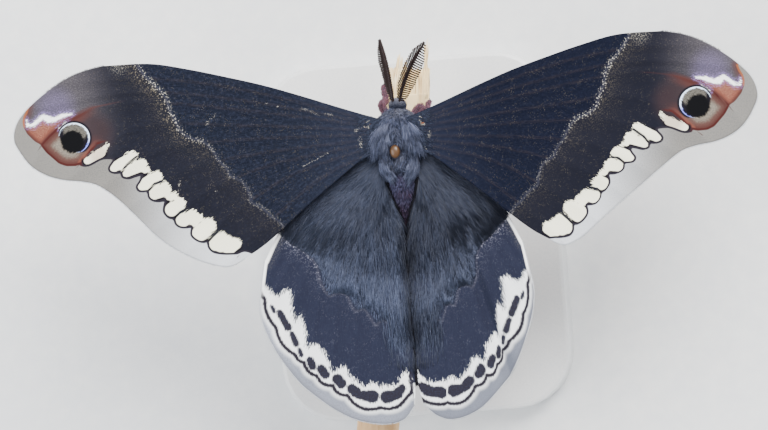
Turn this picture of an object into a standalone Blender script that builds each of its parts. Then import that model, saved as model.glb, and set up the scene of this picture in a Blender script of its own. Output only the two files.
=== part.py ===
"""A male promethea silkmoth, life size, wings spread flat, gripping a broken twig that two rods hold
above a small base. Lengths here are millimetres until a mesh is made, +X is the moth's right, +Y is
its head end and +Z is up. The moth's own frame has its origin in the middle of the thorax; the
object's origin is the centre of the base's underside."""

import math
import random

import bmesh
import bpy
from mathutils import Matrix, Vector

MM = 0.001
GAP = 0.3
SIDES = {"left": -1, "right": 1}

# Stand and perch
BASE_SIZE = Vector((36.0, 44.0, 4.0))
BASE_CORNER, BASE_CORNER_STEPS = 7.0, 6
BASE_EDGE, BASE_EDGE_STEPS = 0.5, 2
ROD_RADIUS = 1.0
ROD_CLEAR_HEIGHT = 11.0
SOCKET_DEPTH = 1.6
ROD_SIDES = 24
ROD_ALONG = {"front": 3.0, "rear": -27.0}
TWIG_RADIUS = 2.6
TWIG_FRONT, TWIG_REAR = 7.6, -38.5
TWIG_HEAD_X, TWIG_HEAD_Y = 0.5, 5.6
TWIG_SKEW = 0.164
TWIG_STEP = 4.2
TWIG_THINNEST = 0.985
# Torn fibres at the twig's front: offsets from its axis across and up, where each starts and ends along
# it, half width, half thickness, and the share of the offset that the tip is pulled in
SPLINTERS = (
    (-1.9, 0.4, 6.4, 8.8, 0.5, 0.6, 0.1),
    (-1.0, 0.9, 6.4, 8.4, 0.55, 0.5, 0.1),
    (-1.1, 0.2, 6.4, 10.2, 0.26, 0.28, 0.0),
    (0.3, -0.2, 6.4, 8.9, 0.9, 0.7, 0.1),
    (1.6, 0.3, 6.4, 9.6, 0.7, 0.6, 0.1),
    (2.45, 0.2, 4.7, 11.2, 0.33, 0.36, 0.3),
    (-0.5, -1.3, 6.4, 8.7, 0.8, 0.5, 0.1),
    (1.0, -1.3, 6.4, 9.3, 0.7, 0.5, 0.1),
)
SPLINTER_STEPS = (0.0, 0.3, 0.62, 0.85, 1.0)
SPLINTER_TAPER = (1.0, 1.0, 0.75, 0.4)

# Where the moth sits over the base
TWIG_AXIS_HEIGHT = BASE_SIZE.z + ROD_CLEAR_HEIGHT + TWIG_RADIUS
THORAX_OVER_TWIG = 7.6
MOTH_AT = Vector((2.0, 12.0, TWIG_AXIS_HEIGHT + THORAX_OVER_TWIG))

# Body
THORAX_AT = Vector((0.0, -0.4, 0.0))
THORAX_HALF = Vector((2.35, 3.5, 2.2))
HEAD_AT = Vector((0.2, 4.1, -0.3))
HEAD_HALF = Vector((0.95, 0.95, 1.05))
EYE_RADIUS = 0.55
EYE_SPREAD = 0.68
EYE_AHEAD = 0.2
EYE_DROP = 0.4
PALP_SPREAD = 0.3
PALP_LENGTH = 0.75
PALP_RADII = (0.22, 0.26, 0.23, 0.1)
ABDOMEN_RADII = ((-2.6, 1.3), (-4.0, 1.72), (-6.0, 1.85), (-8.5, 1.78), (-11.0, 1.55), (-13.5, 1.1),
                 (-15.2, 0.5))
ABDOMEN_DROP = ((-2.6, -0.3), (-5.0, -1.1), (-7.0, -2.0), (-9.0, -2.65), (-12.0, -3.0), (-15.2, -3.1))
ABDOMEN_TAIL = 0.35
ABDOMEN_SEGMENTS = 7
ABDOMEN_GROOVE = 0.05
ABDOMEN_FLATTEN = 0.9
ABDOMEN_SIDES = 18

# Body coat. A lock's arch is (share of its length, share of its lift)
COAT_ROWS = (2.5, 1.7, 0.8, -0.1, -1.0, -1.9, -2.8)
COAT_PER_ROW = 9
COAT_SPAN = math.radians(118)
LOCK_LENGTH, LOCK_WIDTH, LOCK_THICK = 2.3, 1.15, 0.42
LOCK_LIFT = 0.62
LOCK_SINK = 0.55
LOCK_SWAY = 0.18
LOCK_ARCH = ((0.12, 0.25), (0.4, 0.75), (0.72, 0.95), (1.0, 0.8))
LOCK_WIDTHS = (0.3, 0.46, 0.5, 0.32)
LOCK_THICKS = (0.5, 0.55, 0.5, 0.36)
WING_ROOT_BAND = (-0.9, 2.0)
SHOULDER_LOCKS = 5
SHOULDER_LENGTH = 3.8
SHOULDER_ANGLES = (math.radians(34), math.radians(54))
SHOULDER_Y = (2.1, 1.3)
CHEST_ROWS = (2.0, 0.5, -1.0)
CHEST_PER_ROW = 5
CHEST_SPAN = math.radians(55)
CHEST_LENGTH, CHEST_LIFT = 1.5, 0.4
COLLAR_LOCKS = 7
COLLAR_Y = 2.7
COLLAR_SPAN = math.radians(76)
COLLAR_LENGTH, COLLAR_WIDTH, COLLAR_LIFT = 1.05, 0.85, 0.42
HEAD_LOCKS = 7
HEAD_LOCK_SPAN = math.radians(66)
HEAD_LOCK_LENGTH, HEAD_LOCK_WIDTH, HEAD_LOCK_THICK, HEAD_LOCK_LIFT = 0.95, 0.5, 0.3, 0.22

# Antennae: tips in the moth's frame, and the turn of each feather about its own stem
ANTENNA_AIM = Vector((0.33, 0.6, 0.85))
ANTENNA_TIP = {"left": Vector((-0.6, 12.0, 6.3)), "right": Vector((4.7, 11.1, 6.0))}
ANTENNA_ROLL = {"left": math.radians(80), "right": math.radians(44)}
ANTENNA_RADIUS = 0.27
ANTENNA_TAPER = 0.4
ANTENNA_BOW = 1.4
ANTENNA_STEPS = 10
BARB_PAIRS = 11
BARB_FROM, BARB_TO = 0.12, 0.93
BARB_LENGTH = 1.5
BARB_THICK = 0.23
BARB_LEAN = 0.2
BARB_CURL = 0.2
BARB_VEE = math.radians(14)
BARB_ROOT_SINK = 0.05

# Wings: plan outlines of one side, x outwards and y forwards
WING_MEMBRANE = 0.5
WING_VEIN = 0.8
WING_ROWS = 11
MARGIN_THIN = 0.7
THICK_ROOT = 0.2
FORE_COSTA = ((2.9, 2.8), (6.5, 4.1), (11.0, 5.8), (15.0, 7.2), (19.3, 8.45), (23.6, 9.6), (28.0, 10.5),
              (33.3, 10.55))
FORE_MARGIN = ((33.3, 10.55), (36.0, 9.95), (38.6, 8.8), (41.4, 6.9), (43.6, 4.7), (44.3, 2.6), (43.7, 0.9),
               (42.5, -0.8), (40.9, -1.95), (38.9, -2.65), (36.6, -3.0), (34.6, -3.7), (32.0, -5.8),
               (28.0, -9.8), (25.0, -12.0), (22.4, -13.4), (20.2, -13.95), (18.4, -13.2))
FORE_INNER = ((18.4, -13.2), (16.4, -12.0), (14.3, -10.4), (10.4, -7.1), (6.0, -3.6), (3.6, -1.85))
FORE_VEINS = (
    (0.15, (17.0, 6.7), (28.0, 8.7), (38.6, 8.8)),
    (0.22, (17.3, 5.5), (30.0, 7.2), (42.6, 5.9)),
    (0.28, (17.6, 4.4), (30.0, 6.0), (37.6, 4.7), (42.5, -0.8)),
    (0.40, (17.9, 2.6), (30.0, 2.9), (38.3, -2.75)),
    (0.52, (17.5, 0.9), (27.5, 0.2), (34.4, -3.8)),
    (0.64, (16.3, -0.9), (25.0, -2.5), (31.2, -6.5)),
    (0.74, (14.6, -2.3), (22.6, -5.2), (28.5, -9.3)),
    (0.84, (12.0, -3.5), (19.5, -7.9), (25.0, -12.0)),
    (0.93, (9.0, -4.2), (15.5, -9.3), (20.6, -13.9)),
)
FORE_ROOT_Y = (2.0, -1.0)
FORE_ROOT_Z = 1.45
FORE_RISE = 0.194
FORE_DROOP = 2.2
FORE_REACH = 42.0
FORE_PITCH = 0.05
FORE_SPAN = {"left": 1.015, "right": 0.985}
FORE_SWEEP = {"left": math.radians(1.3), "right": math.radians(-1.3)}
FORE_HINGE = Vector((2.9, 1.2))
# The hind corner of each forewing is fuller or flatter than the shared outline
FORE_BULGE = {"left": 0.4, "right": -1.2}
FORE_BULGE_AT, FORE_BULGE_WAY, FORE_BULGE_RADIUS = Vector((26.5, -10.5)), Vector((0.65, -0.76)), 6.0
HIND_COSTA = ((2.9, -1.3), (6.0, -2.3), (10.0, -4.8), (13.4, -8.0), (15.4, -10.7), (16.9, -13.4))
HIND_MARGIN = ((16.9, -13.4), (17.5, -16.4), (17.95, -19.6), (17.0, -23.1), (14.6, -27.4), (12.0, -30.2),
               (8.6, -32.7), (5.2, -33.8), (2.4, -33.6), (0.8, -31.9))
HIND_INNER = ((0.8, -31.9), (0.5, -29.0), (0.5, -20.0), (0.45, -12.5), (1.0, -8.7), (2.0, -5.6), (2.2, -3.6))
HIND_VEINS = (
    (0.16, (9.4, -6.0), (15.0, -12.6), (17.6, -16.8)),
    (0.28, (8.9, -7.6), (14.4, -14.6), (17.8, -20.4)),
    (0.38, (8.3, -8.6), (12.9, -16.6), (16.3, -24.4)),
    (0.48, (7.5, -9.4), (10.9, -18.2), (13.6, -28.6)),
    (0.58, (6.4, -10.1), (9.0, -19.6), (10.6, -31.3)),
    (0.68, (5.2, -10.3), (6.8, -20.6), (7.2, -33.2)),
    (0.80, (3.8, -9.8), (4.4, -20.8), (3.9, -33.8)),
)
HIND_ROOT_Y = (-1.3, -3.0)
HIND_ROOT_Z = -0.05
HIND_RISE = 0.158
HIND_PITCH = 0.05
HIND_SPAN = {"left": 1.0, "right": 0.805}
# The right hindwing's inner edge lies over the midline, more so from one place back to another
HIND_INNER_SHIFT = {"left": 0.0, "right": -0.8}
HIND_SHIFT_FROM, HIND_SHIFT_TO = -9.0, -19.0
HINGE_X = 2.4
PLEAT_LINE = {"left": None, "right": (Vector((5.5, -8.0)), Vector((11.0, -28.6)))}
PLEAT_DEPTH = 1.1
PLEAT_WIDTH = 0.9
RIDGE_SHARE = 0.19
WIDE_INTERVAL = 4.6

# Legs: places along the twig of each foot, how far the right one is set back, and angles round the twig
LEG_RADIUS = 0.46
FOOT_RADIUS = 0.3
LEG_ROWS = {
    "fore": {"hip": Vector((0.9, 1.6, -1.9)), "knee": Vector((2.9, 3.5, -2.6)), "ankle": 4.4, "toe": 6.4,
             "shift": {"left": 0.0, "right": -2.3}},
    "mid": {"hip": Vector((1.3, -0.4, -2.0)), "knee": Vector((4.0, -0.2, -3.1)), "ankle": 0.4, "toe": 2.3,
            "shift": {"left": 0.0, "right": -1.2}},
    "hind": {"hip": Vector((1.2, -2.0, -1.8)), "knee": Vector((3.9, -3.6, -3.3)), "ankle": -5.0, "toe": -3.2,
             "shift": {"left": 0.0, "right": 0.0}},
}
KNEE_SHARE = 0.65
FOOT_ANGLE = (math.radians(58), math.radians(84))

COLOURS = {
    "wing": (0.022, 0.024, 0.036, 1.0),
    "hindwing": (0.022, 0.024, 0.036, 1.0),
    "coat": (0.03, 0.03, 0.045, 1.0),
    "abdomen": (0.05, 0.025, 0.035, 1.0),
    "eye": (0.01, 0.008, 0.008, 1.0),
    "antenna": (0.035, 0.018, 0.016, 1.0),
    "leg": (0.07, 0.03, 0.045, 1.0),
    "twig": (0.62, 0.5, 0.33, 1.0),
    "base": (0.55, 0.55, 0.54, 1.0),
    "rod": (0.5, 0.5, 0.5, 1.0),
}


def clear_scene():
    for obj in list(bpy.data.objects):
        bpy.data.objects.remove(obj)


def make_collection(name):
    collection = bpy.data.collections.new(name)
    bpy.context.scene.collection.children.link(collection)
    return collection


def make_material(name, roughness, metallic=0.0):
    material = bpy.data.materials.new(name)
    material.use_nodes = True
    shader = material.node_tree.nodes["Principled BSDF"]
    shader.inputs["Base Color"].default_value = COLOURS[name]
    shader.inputs["Roughness"].default_value = roughness
    shader.inputs["Metallic"].default_value = metallic
    return material


def mesh_object(name, verts, faces):
    """An object from points in millimetres. Its mesh is in metres."""
    mesh = bpy.data.meshes.new(name)
    mesh.from_pydata([Vector(v) * MM for v in verts], [], faces)
    obj = bpy.data.objects.new(name, mesh)
    bpy.context.scene.collection.objects.link(obj)
    face_outwards(obj)
    return obj


def face_outwards(obj):
    shape = bmesh.new()
    shape.from_mesh(obj.data)
    bmesh.ops.recalc_face_normals(shape, faces=shape.faces)
    shape.to_mesh(obj.data)
    shape.free()


def baked(obj):
    """The object with its modifiers applied, or its curve turned into a welded mesh."""
    graph = bpy.context.evaluated_depsgraph_get()
    mesh = bpy.data.meshes.new_from_object(obj.evaluated_get(graph))
    name, place = obj.name, obj.matrix_world.copy()
    bpy.data.objects.remove(obj)
    made = bpy.data.objects.new(name, mesh)
    made.matrix_world = place
    bpy.context.scene.collection.objects.link(made)
    shape = bmesh.new()
    shape.from_mesh(mesh)
    bmesh.ops.remove_doubles(shape, verts=shape.verts, dist=1e-7)
    bmesh.ops.recalc_face_normals(shape, faces=shape.faces)
    shape.to_mesh(mesh)
    shape.free()
    return made


def keep_largest_surface(obj):
    shape = bmesh.new()
    shape.from_mesh(obj.data)
    left = set(shape.faces)
    surfaces = []
    while left:
        stack = [left.pop()]
        surface = []
        while stack:
            face = stack.pop()
            surface.append(face)
            near = {other for edge in face.edges for other in edge.link_faces} & left
            left -= near
            stack.extend(near)
        surfaces.append(surface)
    largest = max(surfaces, key=lambda surface: sum(face.calc_area() for face in surface))
    loose = [face for surface in surfaces if surface is not largest for face in surface]
    bmesh.ops.delete(shape, geom=loose, context="FACES")
    shape.to_mesh(obj.data)
    shape.free()


def boolean(obj, others, operation):
    """Joins closed pieces to obj, or cuts them from it, with one Boolean. The pieces are removed."""
    group = bpy.data.collections.new("pieces")
    bpy.context.scene.collection.children.link(group)
    for other in others:
        for holder in list(other.users_collection):
            holder.objects.unlink(other)
        group.objects.link(other)
    modifier = obj.modifiers.new(operation.lower(), "BOOLEAN")
    modifier.operation = operation
    modifier.operand_type = "COLLECTION"
    modifier.collection = group
    modifier.solver = "EXACT"
    bpy.context.view_layer.update()
    made = baked(obj)
    for other in list(group.objects):
        bpy.data.objects.remove(other)
    bpy.data.collections.remove(group)
    keep_largest_surface(made)
    return made


def smooth_line(points, steps=12):
    """A dense Catmull-Rom line through the points."""
    points = [Vector(p) for p in points]
    ends = [2 * points[0] - points[1], *points, 2 * points[-1] - points[-2]]
    line = []
    for a, b, c, d in zip(ends, ends[1:], ends[2:], ends[3:]):
        for i in range(steps):
            t = i / steps
            line.append(0.5 * (2 * b + (c - a) * t + (2 * a - 5 * b + 4 * c - d) * t**2
                               + (3 * b - a - 3 * c + d) * t**3))
    line.append(points[-1])
    return line


def lengths_of(line):
    total = [0.0]
    for a, b in zip(line, line[1:]):
        total.append(total[-1] + (b - a).length)
    return total


def at_share(line, share):
    """The point at this share of the line's length."""
    total = lengths_of(line)
    wanted = min(max(share, 0.0), 1.0) * total[-1]
    for i in range(1, len(line)):
        if total[i] >= wanted:
            step = total[i] - total[i - 1]
            return line[i - 1].lerp(line[i], (wanted - total[i - 1]) / step if step else 0.0)
    return line[-1]


def share_nearest(line, point):
    total = lengths_of(line)
    nearest = min(range(len(line)), key=lambda i: (line[i] - Vector(point)).length)
    return total[nearest] / total[-1]


def between(table, x):
    """A value read from a short table of (place, value) pairs that run in one direction."""
    rows = sorted(table)
    if x <= rows[0][0]:
        return rows[0][1]
    for (a, va), (b, vb) in zip(rows, rows[1:]):
        if x <= b:
            return va + (vb - va) * (x - a) / (b - a)
    return rows[-1][1]


def ellipsoid(name, centre, half, segments=20, rings=12, grow=0.0):
    shape = bmesh.new()
    bmesh.ops.create_uvsphere(shape, u_segments=segments, v_segments=rings, radius=1.0)
    scale = Matrix.Diagonal((*((half + Vector((grow, grow, grow))) * MM), 1.0))
    bmesh.ops.transform(shape, matrix=Matrix.Translation(centre * MM) @ scale, verts=shape.verts)
    mesh = bpy.data.meshes.new(name)
    shape.to_mesh(mesh)
    shape.free()
    obj = bpy.data.objects.new(name, mesh)
    bpy.context.scene.collection.objects.link(obj)
    return obj


def blade(name, spine, widths, thicks, normals):
    """A flat tapered lock, barb or splinter: a diamond section along a spine, closed by a tip point."""
    verts = []
    last = len(spine) - 1
    for i in range(last):
        along = (spine[i + 1] - spine[max(i - 1, 0)]).normalized()
        up = (normals[i] - along * normals[i].dot(along)).normalized()
        across = along.cross(up)
        verts += [spine[i] + across * widths[i], spine[i] + up * thicks[i],
                  spine[i] - across * widths[i], spine[i] - up * thicks[i]]
    verts.append(spine[last])
    faces = [(0, 1, 2, 3)]
    for i in range(last - 1):
        for k in range(4):
            a, b = 4 * i + k, 4 * i + (k + 1) % 4
            faces.append((a, b, b + 4, a + 4))
    top = 4 * (last - 1)
    faces += [(top + k, top + (k + 1) % 4, 4 * last) for k in range(4)]
    return mesh_object(name, verts, faces)


def tube(name, points, radii, resolution=2):
    """A round stem through the points, with its own radius at each."""
    curve = bpy.data.curves.new(name, "CURVE")
    curve.dimensions = "3D"
    curve.bevel_depth = MM
    curve.bevel_resolution = resolution
    curve.use_fill_caps = True
    spline = curve.splines.new("POLY")
    spline.points.add(len(points) - 1)
    for spot, point, radius in zip(spline.points, points, radii):
        spot.co = (*(Vector(point) * MM), 1.0)
        spot.radius = radius
    obj = bpy.data.objects.new(name, curve)
    bpy.context.scene.collection.objects.link(obj)
    bpy.context.view_layer.update()
    return baked(obj)


def turned(name, profile, sides):
    """A shape turned about Y from (place, radius) pairs."""
    mesh = bpy.data.meshes.new(name)
    points = [Vector((radius, y, 0.0)) * MM for y, radius in profile]
    mesh.from_pydata(points, [(i, i + 1) for i in range(len(points) - 1)], [])
    obj = bpy.data.objects.new(name, mesh)
    bpy.context.scene.collection.objects.link(obj)
    screw = obj.modifiers.new("turn", "SCREW")
    screw.axis = "Y"
    screw.steps = screw.render_steps = sides
    screw.use_merge_vertices = True
    screw.merge_threshold = 1e-7
    bpy.context.view_layer.update()
    return baked(obj)


def thorax_point(direction, above=0.0):
    """Where a ray from the thorax centre leaves its core, and a distance above that."""
    d = Vector(direction).normalized()
    reach = 1.0 / math.sqrt(sum((d[i] / THORAX_HALF[i]) ** 2 for i in range(3)))
    return THORAX_AT + d * (reach + above)


def core_normal(point):
    local = point - THORAX_AT
    return Vector([local[i] / THORAX_HALF[i] ** 2 for i in range(3)]).normalized()


def thorax_side(y, z):
    """Half the core's width at a height and a place along it."""
    inside = 1.0 - ((y - THORAX_AT.y) / THORAX_HALF.y) ** 2 - ((z - THORAX_AT.z) / THORAX_HALF.z) ** 2
    return THORAX_HALF.x * math.sqrt(max(inside, 0.0))


def root_line(ys, z, steps=6):
    """The wing's root edge, a gap off the core's side."""
    first, last = ys
    places = [first + (last - first) * i / steps for i in range(steps + 1)]
    return [Vector((thorax_side(y, z) + GAP, y)) for y in places]


def wing_columns(costa, margin, inner, veins, root):
    """Each grid column as (function from share to plan point, whether it is a vein)."""
    margin_line = smooth_line(margin)
    costa_line = smooth_line([root[0], *costa])
    inner_line = smooth_line([*inner, root[-1]])[::-1]
    paths = [(costa_line, 0.0)]
    for root_share, *via in veins:
        end = share_nearest(margin_line, via[-1])
        start = at_share(root, root_share)
        paths.append((smooth_line([start, *via[:-1], at_share(margin_line, end)]), end))
    paths.append((inner_line, 1.0))
    reach = lengths_of(margin_line)[-1]
    columns = []
    for (path_a, end_a), (path_b, end_b) in zip(paths, paths[1:]):
        wide = (end_b - end_a) * reach > WIDE_INTERVAL
        shares = [0.0, RIDGE_SHARE, 0.5, 1 - RIDGE_SHARE] if wide else [0.0, RIDGE_SHARE, 1 - RIDGE_SHARE]
        for share in shares:
            columns.append((path_a, path_b, share, margin_line, end_a + (end_b - end_a) * share))
    columns.append((paths[-1][0], paths[-1][0], 0.0, margin_line, 1.0))
    return columns


def column_point(column, s):
    path_a, path_b, share, margin_line, end = column
    point = at_share(path_a, s).lerp(at_share(path_b, s), share)
    straight_end = path_a[-1].lerp(path_b[-1], share)
    return point + (at_share(margin_line, end) - straight_end) * s**3


def fore_height(x, y):
    t = x - HINGE_X
    return FORE_ROOT_Z + FORE_RISE * t - FORE_DROOP * (t / FORE_REACH) ** 2 + FORE_PITCH * (y - 1.0)


def hind_height(x, y):
    return HIND_ROOT_Z + HIND_RISE * (x - HINGE_X) + HIND_PITCH * (y + 1.0)


def pleat_drop(x, y, side):
    """How far a fold along the wing lowers a point. It deepens towards the margin."""
    if PLEAT_LINE[side] is None:
        return 0.0
    start, end = PLEAT_LINE[side]
    along = (end - start).normalized()
    offset = Vector((x, y)) - start
    run = max(offset.dot(along), 0.0) / (end - start).length
    aside = offset.cross(along) / PLEAT_WIDTH
    return PLEAT_DEPTH * min(run, 1.0) * math.exp(-aside * aside)


def fore_place(p, side):
    """A plan point of the forewing as this side holds it, in the moth's frame."""
    turn = Matrix.Rotation(FORE_SWEEP[side], 2)
    away = (p - FORE_BULGE_AT).length / FORE_BULGE_RADIUS
    offset = p + FORE_BULGE_WAY * FORE_BULGE[side] * math.exp(-away * away) - FORE_HINGE
    q = FORE_HINGE + turn @ Vector((offset.x * FORE_SPAN[side], offset.y))
    return Vector((q.x * SIDES[side], q.y, fore_height(q.x, q.y)))


def hind_place(p, side):
    """A plan point of the hindwing as this side holds it, in the moth's frame."""
    if p.x > HINGE_X:
        x = HINGE_X + (p.x - HINGE_X) * HIND_SPAN[side]
    else:
        back = min(max((p.y - HIND_SHIFT_FROM) / (HIND_SHIFT_TO - HIND_SHIFT_FROM), 0.0), 1.0)
        x = p.x + HIND_INNER_SHIFT[side] * (1.0 - p.x / HINGE_X) * back
    return Vector((x * SIDES[side], p.y, hind_height(x, p.y) - pleat_drop(x, p.y, side)))


def wing(name, columns, place, side, clearance=0.0):
    """A triangulated sheet thickened alike on both faces, with its veins standing up as ridges."""
    verts, weights, faces = [], [], []
    rows = WING_ROWS + 1
    for column in columns:
        is_vein = column[2] == 0.0
        for i in range(rows):
            s = i / WING_ROWS
            verts.append(place(column_point(column, s), side))
            near_root = max(0.0, 1.0 - s / THICK_ROOT)
            ridge = max(near_root, 1.0 if is_vein else 0.0)
            thick = WING_MEMBRANE + (WING_VEIN - WING_MEMBRANE) * ridge
            weights.append(thick * (MARGIN_THIN if i == WING_ROWS else 1.0))
    for j in range(len(columns) - 1):
        for i in range(WING_ROWS):
            a, b = j * rows + i, (j + 1) * rows + i
            faces += [(a, b, b + 1), (a, b + 1, a + 1)]
    if side == "left":
        faces = [face[::-1] for face in faces]
    mesh = bpy.data.meshes.new(name)
    mesh.from_pydata([v * MM for v in verts], [], faces)
    obj = bpy.data.objects.new(name, mesh)
    bpy.context.scene.collection.objects.link(obj)
    group = obj.vertex_groups.new(name="thickness")
    most = WING_VEIN + 2 * clearance
    for i, weight in enumerate(weights):
        group.add([i], (weight + 2 * clearance) / most, "REPLACE")
    solid = obj.modifiers.new("thicken", "SOLIDIFY")
    solid.thickness = most * MM
    solid.offset = 0.0
    solid.vertex_group = group.name
    bpy.context.view_layer.update()
    return baked(obj)


def make_wings(clearance=0.0):
    fore = wing_columns(FORE_COSTA, FORE_MARGIN, FORE_INNER, FORE_VEINS, root_line(FORE_ROOT_Y, FORE_ROOT_Z))
    hind = wing_columns(HIND_COSTA, HIND_MARGIN, HIND_INNER, HIND_VEINS, root_line(HIND_ROOT_Y, HIND_ROOT_Z))
    made = {}
    for side in SIDES:
        made["forewing_" + side] = wing("forewing_" + side, fore, fore_place, side, clearance)
        made["hindwing_" + side] = wing("hindwing_" + side, hind, hind_place, side, clearance)
    return made


def abdomen_shape(grow=0.0):
    """Seven rings, each swelling between two grooves, on an axis that sinks below the hindwings."""
    front, rear = ABDOMEN_RADII[0][0], ABDOMEN_RADII[-1][0]
    steps = ABDOMEN_SEGMENTS * 3
    profile = [(front, 0.0)]
    for i in range(steps + 1):
        y = front + (rear - front) * i / steps
        swell = 1.0 - (ABDOMEN_GROOVE if i % 3 == 0 else 0.0)
        profile.append((y, between(ABDOMEN_RADII, y) * swell + grow))
    profile.append((rear - ABDOMEN_TAIL - grow, 0.0))
    obj = turned("abdomen", profile, ABDOMEN_SIDES)
    for vertex in obj.data.vertices:
        drop = between(ABDOMEN_DROP, vertex.co.y / MM)
        vertex.co.z = vertex.co.z * ABDOMEN_FLATTEN + drop * MM
    return obj


def head_shape(grow=0.0):
    return ellipsoid("head", HEAD_AT, HEAD_HALF, 16, 10, grow)


def eye_at(side):
    return HEAD_AT + Vector((EYE_SPREAD * SIDES[side], EYE_AHEAD, -EYE_DROP))


def eye_shape(side, grow=0.0):
    size = Vector((EYE_RADIUS,) * 3)
    return ellipsoid("eye_" + side, eye_at(side), size, 16, 10, grow)


def thorax_shape(grow=0.0):
    return ellipsoid("thorax", THORAX_AT, THORAX_HALF, 22, 14, grow)


def lock_over_body(name, root, normal, lie, length, width, thick, lift, rng):
    """One lock: its root sunk in the core, then bending back along the body and thinning to a tip."""
    across = normal.cross(lie).normalized()
    sway = across * rng.uniform(-LOCK_SWAY, LOCK_SWAY) * length
    spine = [root - normal * LOCK_SINK]
    for share, height in LOCK_ARCH:
        spine.append(root + lie * length * share + normal * lift * height + sway * share**2)
    widths = [width * k for k in LOCK_WIDTHS]
    thicks = [thick * k for k in LOCK_THICKS]
    return blade(name, spine, widths, thicks, [normal] * len(spine))


def core_point(y, angle):
    """A point of the core at a place along it and an angle round it from the top."""
    ring = math.sqrt(1 - ((y - THORAX_AT.y) / THORAX_HALF.y) ** 2)
    return Vector((THORAX_HALF.x * ring * math.sin(angle), y, THORAX_HALF.z * ring * math.cos(angle)))


def laid_along(aim, normal, hug=1.0):
    """The aim pressed onto a surface: hug 1 lays it flat, less lets it stand off."""
    return (aim - normal * aim.dot(normal) * hug).normalized()


def thorax_locks(rng):
    locks = []
    for row, y in enumerate(COAT_ROWS):
        for k in range(COAT_PER_ROW):
            offset = 0.5 if row % 2 else 0.0
            angle = COAT_SPAN * ((k + offset) / (COAT_PER_ROW - 0.5) * 2 - 1)
            root = core_point(y + rng.uniform(-0.15, 0.15), angle + rng.uniform(-0.07, 0.07))
            if abs(root.x) > 1.0 and WING_ROOT_BAND[0] < root.z < WING_ROOT_BAND[1]:
                continue
            normal = core_normal(root)
            lie = laid_along(Vector((0.12 * math.sin(angle), -1.0, 0.0)), normal)
            locks.append(lock_over_body("lock", root, normal, lie, LOCK_LENGTH * rng.uniform(0.85, 1.1),
                                        LOCK_WIDTH, LOCK_THICK, LOCK_LIFT * rng.uniform(0.8, 1.15), rng))
    return locks


def shoulder_locks(rng):
    """The long tufts that sweep back from each shoulder over the root of the forewing."""
    locks = []
    for sign in SIDES.values():
        for k in range(SHOULDER_LOCKS):
            share = k / (SHOULDER_LOCKS - 1)
            angle = SHOULDER_ANGLES[0] + (SHOULDER_ANGLES[1] - SHOULDER_ANGLES[0]) * share
            root = core_point(SHOULDER_Y[0] + (SHOULDER_Y[1] - SHOULDER_Y[0]) * share, sign * angle)
            normal = core_normal(root)
            lie = laid_along(Vector((sign * (0.16 + 0.24 * share), -1.0, 0.12)), normal, 0.8)
            locks.append(lock_over_body("shoulder", root, normal, lie, SHOULDER_LENGTH * (1 - 0.18 * share),
                                        LOCK_WIDTH, LOCK_THICK, LOCK_LIFT * 1.3, rng))
    return locks


def chest_locks(rng):
    """Shorter locks under the thorax, between and round the legs."""
    locks = []
    for y in CHEST_ROWS:
        for k in range(CHEST_PER_ROW):
            root = core_point(y, math.pi + CHEST_SPAN * (2 * k / (CHEST_PER_ROW - 1) - 1))
            normal = core_normal(root)
            lie = laid_along(Vector((0.0, -1.0, 0.0)), normal)
            locks.append(lock_over_body("chest", root, normal, lie, CHEST_LENGTH * rng.uniform(0.85, 1.1),
                                        LOCK_WIDTH, LOCK_THICK, CHEST_LIFT, rng))
    return locks


def collar_locks(rng):
    """A fan of short locks that stands forwards over the neck."""
    locks = []
    for k in range(COLLAR_LOCKS):
        angle = COLLAR_SPAN * (2 * k / (COLLAR_LOCKS - 1) - 1)
        root = core_point(COLLAR_Y, angle)
        normal = core_normal(root)
        lie = laid_along(Vector((0.25 * math.sin(angle), 1.0, 0.15)), normal, 0.5)
        locks.append(lock_over_body("collar", root, normal, lie, COLLAR_LENGTH, COLLAR_WIDTH, LOCK_THICK,
                                    COLLAR_LIFT, rng))
    return locks


def make_thorax():
    rng = random.Random(11)
    locks = thorax_locks(rng) + shoulder_locks(rng) + chest_locks(rng) + collar_locks(rng)
    thorax = boolean(thorax_shape(), locks, "UNION")
    cutters = [head_shape(GAP), abdomen_shape(GAP)] + [eye_shape(side, GAP) for side in SIDES]
    cutters += [make_leg(row, side, GAP) for row in LEG_ROWS for side in SIDES]
    cutters += list(make_wings(GAP).values())
    return boolean(thorax, cutters, "DIFFERENCE")


def make_head():
    rng = random.Random(5)
    pieces = []
    for k in range(HEAD_LOCKS):
        angle = HEAD_LOCK_SPAN * (2 * k / (HEAD_LOCKS - 1) - 1)
        normal = Vector((math.sin(angle), 0.35, math.cos(angle))).normalized()
        root = HEAD_AT + Vector([normal[i] * HEAD_HALF[i] for i in range(3)])
        lie = laid_along(Vector((0.2 * math.sin(angle), 1.0, -0.25)), normal)
        pieces.append(lock_over_body("front", root, normal, lie, HEAD_LOCK_LENGTH, HEAD_LOCK_WIDTH,
                                     HEAD_LOCK_THICK, HEAD_LOCK_LIFT, rng))
    for sign in SIDES.values():
        root = HEAD_AT + Vector((PALP_SPREAD * sign, HEAD_HALF.y * 0.8, -HEAD_HALF.z * 0.45))
        tip = root + Vector((0.1 * sign, PALP_LENGTH, 0.1))
        inside = root - Vector((0, HEAD_HALF.y * 0.4, 0))
        pieces.append(tube("palp", [inside, root, root.lerp(tip, 0.6), tip], PALP_RADII, 1))
    head = boolean(head_shape(), pieces, "UNION")
    cutters = [eye_shape(side, GAP) for side in SIDES] + [thorax_shape(GAP)]
    cutters += [antenna_stem(side, GAP) for side in SIDES]
    return boolean(head, cutters, "DIFFERENCE")


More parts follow.
